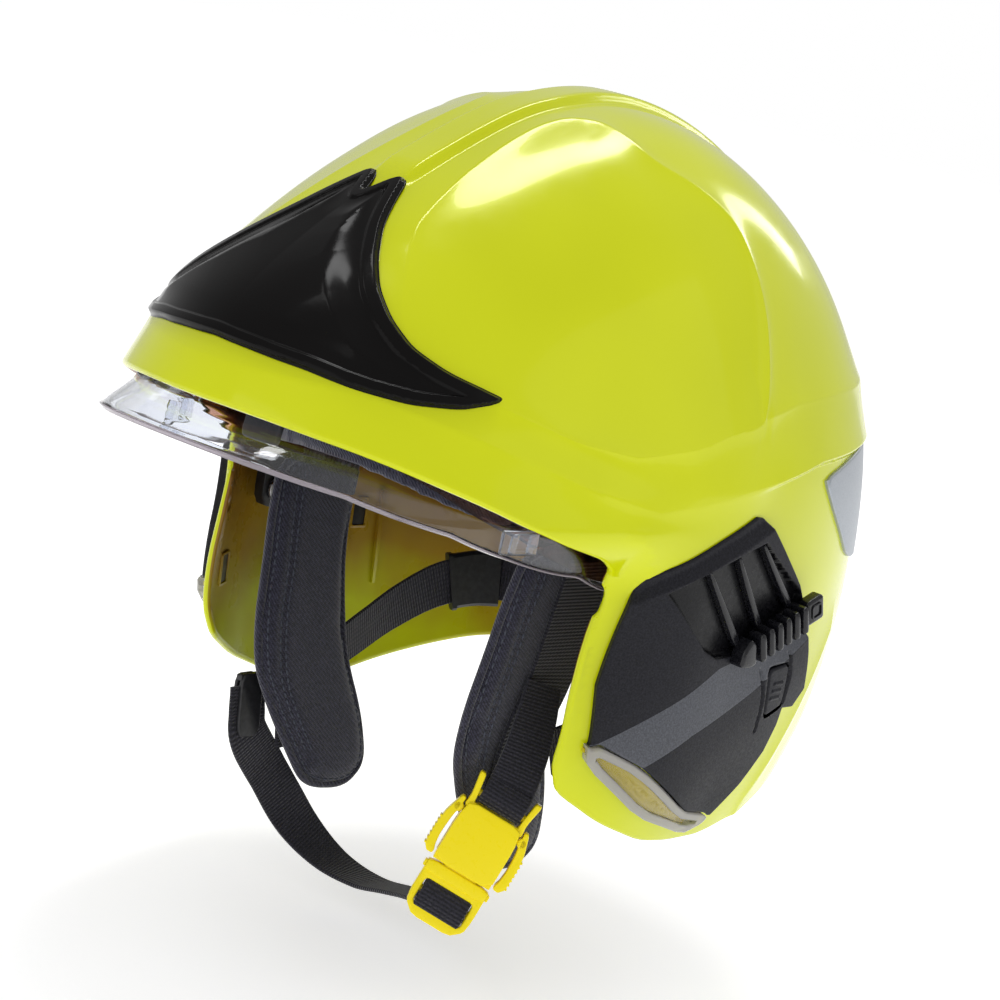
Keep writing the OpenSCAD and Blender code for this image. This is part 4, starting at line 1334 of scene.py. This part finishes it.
def buckle_frame():
    kit = Kit(BUCKLE, IN_BUCKLE)
    body = soften([(-12.4, -6), (12.4, -6), (12.4, 12), (11, 19.6), (-11, 19.6), (-12.4, 12)], 0.85, 1)
    kit.add(body, 3.2, 5, 0.7, 3)
    kit.add(body, -5, -3.2, 0.7, 3)
    socket = [
        (-12.2, -6), (-8.8, -6), (-8.8, 15), (8.8, 15), (8.8, -6), (12.2, -6), (12.2, 12), (10.8, 19.4),
        (-10.8, 19.4), (-12.2, 12)]
    kit.add(soften(socket, 0.97, 1), -3.6, 3.6, 0.2, 3)
    for k in (1, -1):
        leg = [(k * 9.2, 17), (k * 12.4, 17), (k * 11.9, 22), (k * 13.5, 31), (k * 11, 31), (k * 9.9, 24)]
        kit.add(soften(leg, 0.85, 1), -3.4, 3.4, 0.7, 3)
    kit.parts.append(buckle_tube(23.4, 1.5))
    return kit.fit("buckle_upper_half", "helmet", "buckle", "buckle_frame")


def buckle_arm(name, k):
    """Squeeze arm; k is 1 for the rear one and -1 for the front one."""
    kit = Kit(BUCKLE, IN_BUCKLE)
    bow = [
        (13.4, -5), (15.6, -5.2), (17.5, -3), (17.7, 6), (17, 12), (14.6, 19.6), (12.9, 19.4), (13.0, 16),
        (14.0, 10), (14.4, 3), (13.9, -1.5), (13.2, -3.4)]
    kit.add(soften([(k * x, y) for x, y in bow], 0.85, 1), -3.4, 3.4, 0.5, 3)
    kit.add(disc(2.0, 20, (k * 13.9, 15.2)), -3.4, 3.4, 0.5, 3)
    for i in range(7):
        y = -2.6 + i * 1.9
        rib = box_outline(min(k * 16.8, k * 18), max(k * 16.8, k * 18), y - 0.45, y + 0.45, 0.3, 3)
        kit.add(soften(rib, 0.95, 1), -3.2, 3.2, 0.25, 3)
    return kit.fit(f"{name}_squeeze", f"{name}_body", "buckle", name)


def buckle_tongue():
    kit = Kit(BUCKLE, IN_BUCKLE)
    shoulder = [(-13, -6.6), (13, -6.6), (13, -11.8), (-13, -11.8)]
    ring = [
        (-13, -8), (13, -8), (13.1, -20), (12.4, -25), (8, -28.8), (-8, -28.8), (-12.4, -25), (-13.1, -20)]
    blade = [(-8.1, -8), (8.1, -8), (7.6, 11.8), (4, 11.8), (3, -2), (-3, -2), (-4, 11.8), (-7.6, 11.8)]
    kit.add(soften(shoulder, 0.85, 1), -3.5, 3.5, 0.8, 3)
    kit.add(soften(ring, 0.85, 1), -3, 3, 0.9, 3, [box_outline(-10.2, 10.2, -24.2, -13.8, 1.5)])
    kit.add(soften(blade, 0.85, 1), -2.7, 2.7, 0.5, 3)
    for k in (1, -1):
        notch = box_outline(min(k * 13, k * 14), max(k * 13, k * 14), -10.6, -8, 0.4, 3)
        kit.add(soften(notch, 0.95, 1), -2.6, 2.6, 0.3, 3)
    kit.parts.append(buckle_tube(-18.5, 1.4))
    return kit.fit("buckle_lower_half", "buckle_tongue_body", "buckle", "buckle_tongue")


# ---------------------------------------------------------------- visors and pivots
SCREW = (-19, -32)
SHIELD_PROFILE = [
    (-90, 196), (4, 197.5), (7, 195.5), (9, 187), (11, 176.5), (13, 175.5), (20, 171), (30, 160),
    (40, 151.6), (50, 146.8), (60, 144.2), (90, 144.2)]
SHIELD_LOW = [(8, -88), (16, -80), (33, -25), (60, -6.7), (95, 0), (120, 3.8), (161, 6.8), (197, 8)]
SHIELD_HIGH = [(8, 88), (16, 84), (30, 60), (200, 60)]
OCULAR_LOW = [(8, -88), (16, -78), (33, -23), (59, -6), (80, 2.2), (112, 9), (142, 13.4)]
OCULAR_HIGH = [(8, 88), (16, 82), (30, 58), (200, 58)]


def visor_edge(radius, lows, highs, scale_low, scale_high):
    """Distance in mm outside a visor sheet, by the angles of its edges at each distance from the pivot."""
    lows, highs = np.array(lows, float).T, np.array(highs, float).T

    def field(p):
        theta = np.arctan2(p[:, 2], -p[:, 1])
        q = np.hypot(p[:, 1], p[:, 2])
        near = q / radius(theta)
        turn = np.degrees(theta)
        below, over = np.interp(near * scale_low, *lows) - turn, turn - np.interp(near * scale_high, *highs)
        return np.maximum(np.radians(np.maximum(below, over)) * q, 8.6 - q)
    return field


def crowded(count):
    """Side angles that get closer towards the pivots."""
    u = np.linspace(-1, 1, count)
    return np.radians(89.7) * np.sign(u) * (1 - (1 - np.abs(u)) ** 1.5)


def visor_sheet(name, half, radius, edge, thickness, material):
    chart = form(half, radius, lambda theta: 2.3 + 0 * theta)
    spans = [np.linspace(-90, -10, 60), np.linspace(-9.5, 16, 90), np.linspace(16.6, 90, 90)]
    patch = Patch(chart, np.radians(np.concatenate(spans)), crowded(190)).keep(edge)
    patch.cut(edge, -0.4, -1.2)

    def depth(p):
        return 0.08 + rounded_edge(edge(p), 0.7)
    return thick(name, patch, lambda p: -depth(p), lambda p: depth(p) - thickness, material), chart


def face_shield():
    radius = profile(SHIELD_PROFILE)
    edge = visor_edge(radius, SHIELD_LOW, SHIELD_HIGH, 197, 145)
    sheet, chart = visor_sheet("face_shield_sheet", 96, radius, edge, 2, CLEAR)
    fit(sheet, "face_shield_body", "clear", "face_shield")
    lows = np.array(SHIELD_LOW, float).T
    path, wide = [], []
    for beta in np.radians(np.linspace(-80, 80, 161)):
        m = (abs(math.sin(beta)) ** 2.3 + abs(math.cos(beta)) ** 2.3) ** (1 / 2.3)
        near = abs(math.cos(beta)) / m
        theta = math.radians(np.interp(near * 197, *lows)) - 0.65 / (near * 197)
        uv = np.array([[theta, beta]])
        out = normals(chart, uv, 1e-3)[0]
        path.append(chart(uv)[0] - out * 1.0)
        wide.append(out)
    bead = ribbon("shield_lower_bead", path, wide, 2.7, 0.8, BEAD, 260, 0.25)
    fit(bead, "face_shield_body", "clear", "shield_bead")


def shield_tabs():
    kit = Kit(CLEAR)
    for side in BOTH:
        kit.place = side_place(side, Matrix.Translation((87.2, -101, 1.5))
                               @ Matrix.Rotation(math.radians(-12), 4, "Z") @ sideways())
        kit.add(box_outline(0, 16, 0, 9, 1), 0, 2)
        for x in (2.5, 10.5):
            rib = [(x, 0.8), (x + 3, 0.8), (x + 3.8, 8.2), (x + 0.8, 8.2)]
            kit.add(soften(rib, 0.85, 1), 1.6, 3.4, 0.7)
    return kit.fit("shield_clip_tabs", "face_shield_body", "clear", "shield_tabs")


def ocular_visor():
    reach = 141.5

    def radius(theta):
        return reach + 0 * theta
    edge = visor_edge(radius, OCULAR_LOW, OCULAR_HIGH, reach, reach)
    sheet, _ = visor_sheet("eye_visor_sheet", 91.5, radius, edge, 1.5, TINTED)
    fit(sheet, "ocular_visor_body", "tint", "ocular_visor")
    place = Matrix.Translation((0, -140.3, 19.6)) @ Matrix.Rotation(math.radians(80), 4, "X")
    kit = Kit(SATIN_BLACK, place)
    kit.add(box_outline(-9, 9, 0, 13, 3), -2.9, -0.1, 0.8, 3)
    for y in (3.5, 6.5, 9.5):
        kit.add(box_outline(-6.5, 6.5, y - 0.5, y + 0.5, 0.45), -3.2, -2.4, 0.2)
    kit.fit("eye_visor_grip", "ocular_visor_body", "bracket", "ocular_tab")


def hubs(name, low, high, material, body, slot):
    kit = Kit(material)
    for side in BOTH:
        kit.place = side_place(side, sideways())
        kit.add(disc(14, 64), low, high - 0.6, 0.5, holes=[disc(5.06, 40)])
        kit.add(disc(13, 64), high - 1.2, high, 0.3, holes=[disc(9.5, 48)])
        for a in np.radians(np.arange(0, 360, 45)):
            kit.add(disc(1.2, 12, (11.2 * math.cos(a), 11.2 * math.sin(a))), high - 0.8, high + 0.1, 0.2)
    return kit.fit(f"{name}_rings", body, slot, name)


def visor_bracket(side):
    kit = Kit(SATIN_BLACK, side_place(side, sideways()))
    hole = disc(5, 40)
    kit.add(disc(16, 64), 101.6, 107.4, 0.8, 3, [hole])
    kit.add(disc(10, 48), 107, 113.6, 0.9, 3, [hole])
    leg = soften([(-26, -40), (-6, -40), (-6, 0), (-15.5, 4), (-26, -6)], 0.85, 2)
    kit.add(leg, 101.6, 107.4, 0.8, 3, [disc(2.6, 24, SCREW)])
    kit.add(box_outline(-8, 22, -30, -6, 3), 101.7, 107.2, 0.8, 3, [box_outline(-3, 18, -25, -12, 2)])
    kit.add(box_outline(-5, 20, -27, -10, 2), 101.7, 103.5, 0.3)
    for y in (2, 7.5, 13):
        kit.add(box_outline(y - 0.7, y + 0.7, -26, -11, 0.5), 103, 106.8, 0.3)
    return kit.fit(f"visor_bracket_{side}_plate", "helmet", "bracket", f"visor_bracket_{side}")


def visor_pins():
    kit = Kit(STEEL)
    for side in BOTH:
        kit.place = side_place(side, sideways())
        kit.add(disc(4.98, 40), 85.6, 112.8, 0.5)
        kit.add(disc(7.5, 48), 84.8, 86.2, 0.4, holes=[box_outline(-4.5, 4.5, -0.7, 0.7, 0.6)])
    return kit.fit("pivot_pins", "helmet", "steel", "visor_pins")


def bracket_screws():
    kit = Kit(STEEL)
    turns = np.arange(12) * math.pi / 6
    reach = np.where(np.arange(12) % 2, 2.5, 1.9)
    star = np.stack([reach * np.cos(turns), reach * np.sin(turns)], 1)
    for side in BOTH:
        kit.place = side_place(side, sideways(0, *SCREW))
        kit.add(disc(5, 40), 99.4, 101.4, 0.5, holes=[star])
        kit.add(disc(3.4, 24), 100.6, 101.4, 0.1)
        kit.add(disc(2.3, 24), 101, 107, 0.2)
    return kit.fit("bracket_screw_set", "helmet", "steel", "bracket_screws")


# ---------------------------------------------------------------- head size wheel
KNOB_Z = -56
BEHIND = Matrix.Translation((0, 0, KNOB_Z)) @ basis((-1, 0, 0), (0, 0, 1), (0, 1, 0))


def ratchet_housing():
    kit = Kit(SATIN_BLACK, BEHIND)
    outline = soften([(-36, -12), (36, -12), (36, 12), (-36, 12)], 0.8, 2)
    slots = [box_outline(x - 10, x + 10, -7, 7, 2) for x in (-20, 20)]
    kit.add(outline, 97.4, 103.3, 1.2, 3, [disc(4.1, 32)])
    kit.add(outline, 95.4, 98.5, 0.5, holes=[*slots, disc(5, 32)])
    kit.add(disc(8, 48), 102.5, 105, holes=[disc(4.1, 32)])
    for x in (-30, -26, -22, 22, 26, 30):
        kit.add(box_outline(x - 0.8, x + 0.8, -8, 8, 0.7), 102.6, 104, 0.3)
    return kit.fit("size_wheel_case", "helmet", "band", "ratchet_housing")


def size_knob():
    turn = np.linspace(0, 2 * math.pi, 240, endpoint=False)
    grip = 14.9 - 1.1 * np.clip(np.cos(12 * turn), 0, 1) ** 1.5
    kit = Kit(SATIN_BLACK, BEHIND)
    kit.add(np.stack([grip * np.cos(turn), grip * np.sin(turn)], 1), 105.5, 115.8, 0.9, 3, material=RUBBER)
    kit.add(disc(11.6, 64), 115, 116.6, 0.6)
    kit.add(disc(9.6, 64), 116.2, 117.3, 0.3, holes=[disc(8.2, 64)])
    kit.add(disc(3.95, 32), 96.2, 106, 0.3)
    for a in np.radians((0, 120, 240)):
        kit.add(disc(1.4, 16, (4.6 * math.cos(a), 4.6 * math.sin(a))), 116.2, 117.1, 0.3)
    return kit.fit("size_wheel", "size_knob_body", "band", "size_knob")


# ---------------------------------------------------------------- inside of the shell
def on_wall(y, z, side):
    """Place on the shell: x back along the wall, y up, z out; 0 is the outer face."""
    uv = np.array([[y, z]], float)
    out = normals(beside, uv, CHART_STEP[beside])[0]
    back = np.cross((0, 0, 1.0), out)
    back /= np.linalg.norm(back)
    return side_place(side, basis(back, np.cross(out, back), out, beside(uv)[0]))


def wall_details(side):
    """Slots, date dial and rib moulded in the inner face of the shell."""
    # the moulded details take the inside finish, with its painted shade by height
    kit = Kit(SHELL_INSIDE_PAINTED_SHADE)
    for y, z in ((-44, -65), (46, -48)):
        kit.place = on_wall(y, z, side)
        kit.add(box_outline(-3.6, 3.6, -6, 6, 0.8), -4.0, -3.2, 0.1, material=SATIN_BLACK)
        rim = box_outline(-4.8, 4.8, -7.2, 7.2, 1.4)
        kit.add(rim, -4.6, -3.2, 0.3, holes=[box_outline(-3.5, 3.5, -5.9, 5.9, 0.8)])
    kit.place = on_wall(36, -62, side)
    kit.add(disc(5.4, 40), -5.2, -3.2, holes=[disc(3.9, 32)])
    kit.add(disc(3.6, 32), -4.4, -3.2, 0.3)
    tick = np.array([(2.8, 0.25), (-2.8, 0.25), (-2.8, -0.25), (2.8, -0.25)])
    for a in np.radians(np.arange(0, 180, 30)):
        c, s = math.cos(a), math.sin(a)
        kit.add(tick @ np.array([(c, s), (-s, c)]), -4.9, -4.2, 0.1)
    kit.place = on_wall(58, -58, side)
    kit.add([(-0.8, -22), (0.8, -22), (1.2, 20), (-1.2, 20)], -5.6, -3.2, 0.3)
    return kit.fit(f"shell_wall_details_{side}", "helmet", "shell")


# ---------------------------------------------------------------- studio
def studio():
    turn, rise, tilt, far = math.radians(42.5), math.radians(24), math.radians(16), 1.15
    back = Vector((math.sin(turn) * math.cos(rise), -math.cos(turn) * math.cos(rise), math.sin(rise)))
    right = Vector((math.cos(turn), math.sin(turn), 0))
    up = back.cross(right)
    pose = basis(right, up, back, back * far)
    data = bpy.data.cameras.new("camera")
    data.lens, data.sensor_width, data.shift_y = 104.4, 36, -0.02
    camera = bpy.data.objects.new("camera", data)
    camera.matrix_world = Matrix.Rotation(tilt, 4, "X") @ pose
    bpy.context.scene.collection.objects.link(camera)
    bpy.context.scene.camera = camera

    world = bpy.data.worlds.new("studio")
    bpy.context.scene.world = world
    world.use_nodes = True
    tree = world.node_tree
    background = tree.nodes["Background"]
    background.inputs["Color"].default_value = (1, 1, 1, 1)
    path = tree.nodes.new("ShaderNodeLightPath")
    level = tree.nodes.new("ShaderNodeMapRange")
    level.inputs["To Min"].default_value = 0.55
    level.inputs["To Max"].default_value = 1.0
    tree.links.new(path.outputs["Is Camera Ray"], level.inputs["Value"])
    tree.links.new(level.outputs["Result"], background.inputs["Strength"])

    softbox("overhead_strip", (-0.22, 0.36, 1.5), (-0.16, 0.98, -0.18), 0.2, 1.15, 11)
    softbox("rear_strip", (-0.02, 1.28, 0.78), (-0.2, 0.42, -0.88), 0.14, 0.85, 5)
    softbox("plate_light", (-0.24, -0.6, 1.42), (0, 1, 0.3), 0.3, 0.3, 2.5)
    softbox("right_fill", (1.5, 0.45, 0.75), (0, 0, 1), 1.2, 1.2, 0.3)
    softbox("front_fill", (0.2, -1.7, 0.5), (0, 0, 1), 1.2, 1.2, 0.7)
    reach = 4000
    corners = [(-reach, -reach, 0), (reach, -reach, 0), (reach, reach, 0), (-reach, reach, 0)]
    floor = mesh_object("floor", corners, [[0, 1, 2, 3]], [FLOOR])
    floor.location.z = cad_box[0][2] - 0.012
    bpy.context.scene.view_settings.view_transform = "Standard"


def softbox(name, at, along, width, length, brightness):
    """Rectangular light that faces the helmet; its long side runs along a direction."""
    data = bpy.data.lights.new(name, "AREA")
    data.shape, data.size, data.size_y = "RECTANGLE", width, length
    data.energy = brightness * math.pi * width * length
    light = bpy.data.objects.new(name, data)
    away = Vector(at).normalized()
    y = (Vector(along) - away * away.dot(Vector(along))).normalized()
    light.matrix_world = basis(y.cross(away), y, away, at)
    bpy.context.scene.collection.objects.link(light)


def floor_finish():
    f = Finish("floor_paper", color=(0.93, 0.93, 0.93), rough=0.8)
    f.shader.inputs["Emission Color"].default_value = (1, 1, 1, 1)
    f.shader.inputs["Emission Strength"].default_value = 0.5
    return f.bump(f.noise(200, 2), 0.0001, 0.3).material


FLOOR = floor_finish()
studio()
outer_shell()
front_plate()
brow_gasket()
impact_liner()
headband()
crown_cradle()
nape_band()
ear_pads()
head_pads()
strap_anchor()
chin_strap()
frame_webbing()
buckle_frame()
buckle_tongue()
buckle_arm("buckle_arm_front", -1)
buckle_arm("buckle_arm_rear", 1)
face_shield()
shield_tabs()
hubs("shield_hubs", 96.4, 101, CLEAR, "face_shield_body", "clear")
ocular_visor()
hubs("ocular_hubs", 86.6, 89.6, SATIN_BLACK, "ocular_visor_body", "bracket")
visor_pins()
bracket_screws()
ratchet_housing()
size_knob()
for side in BOTH:
    side_cover(side)
    lamp(side)
    reflective(side)
    mask_rack(side)
    lamp_button(side)
    visor_bracket(side)
    side_webbing(side)
    wall_details(side)
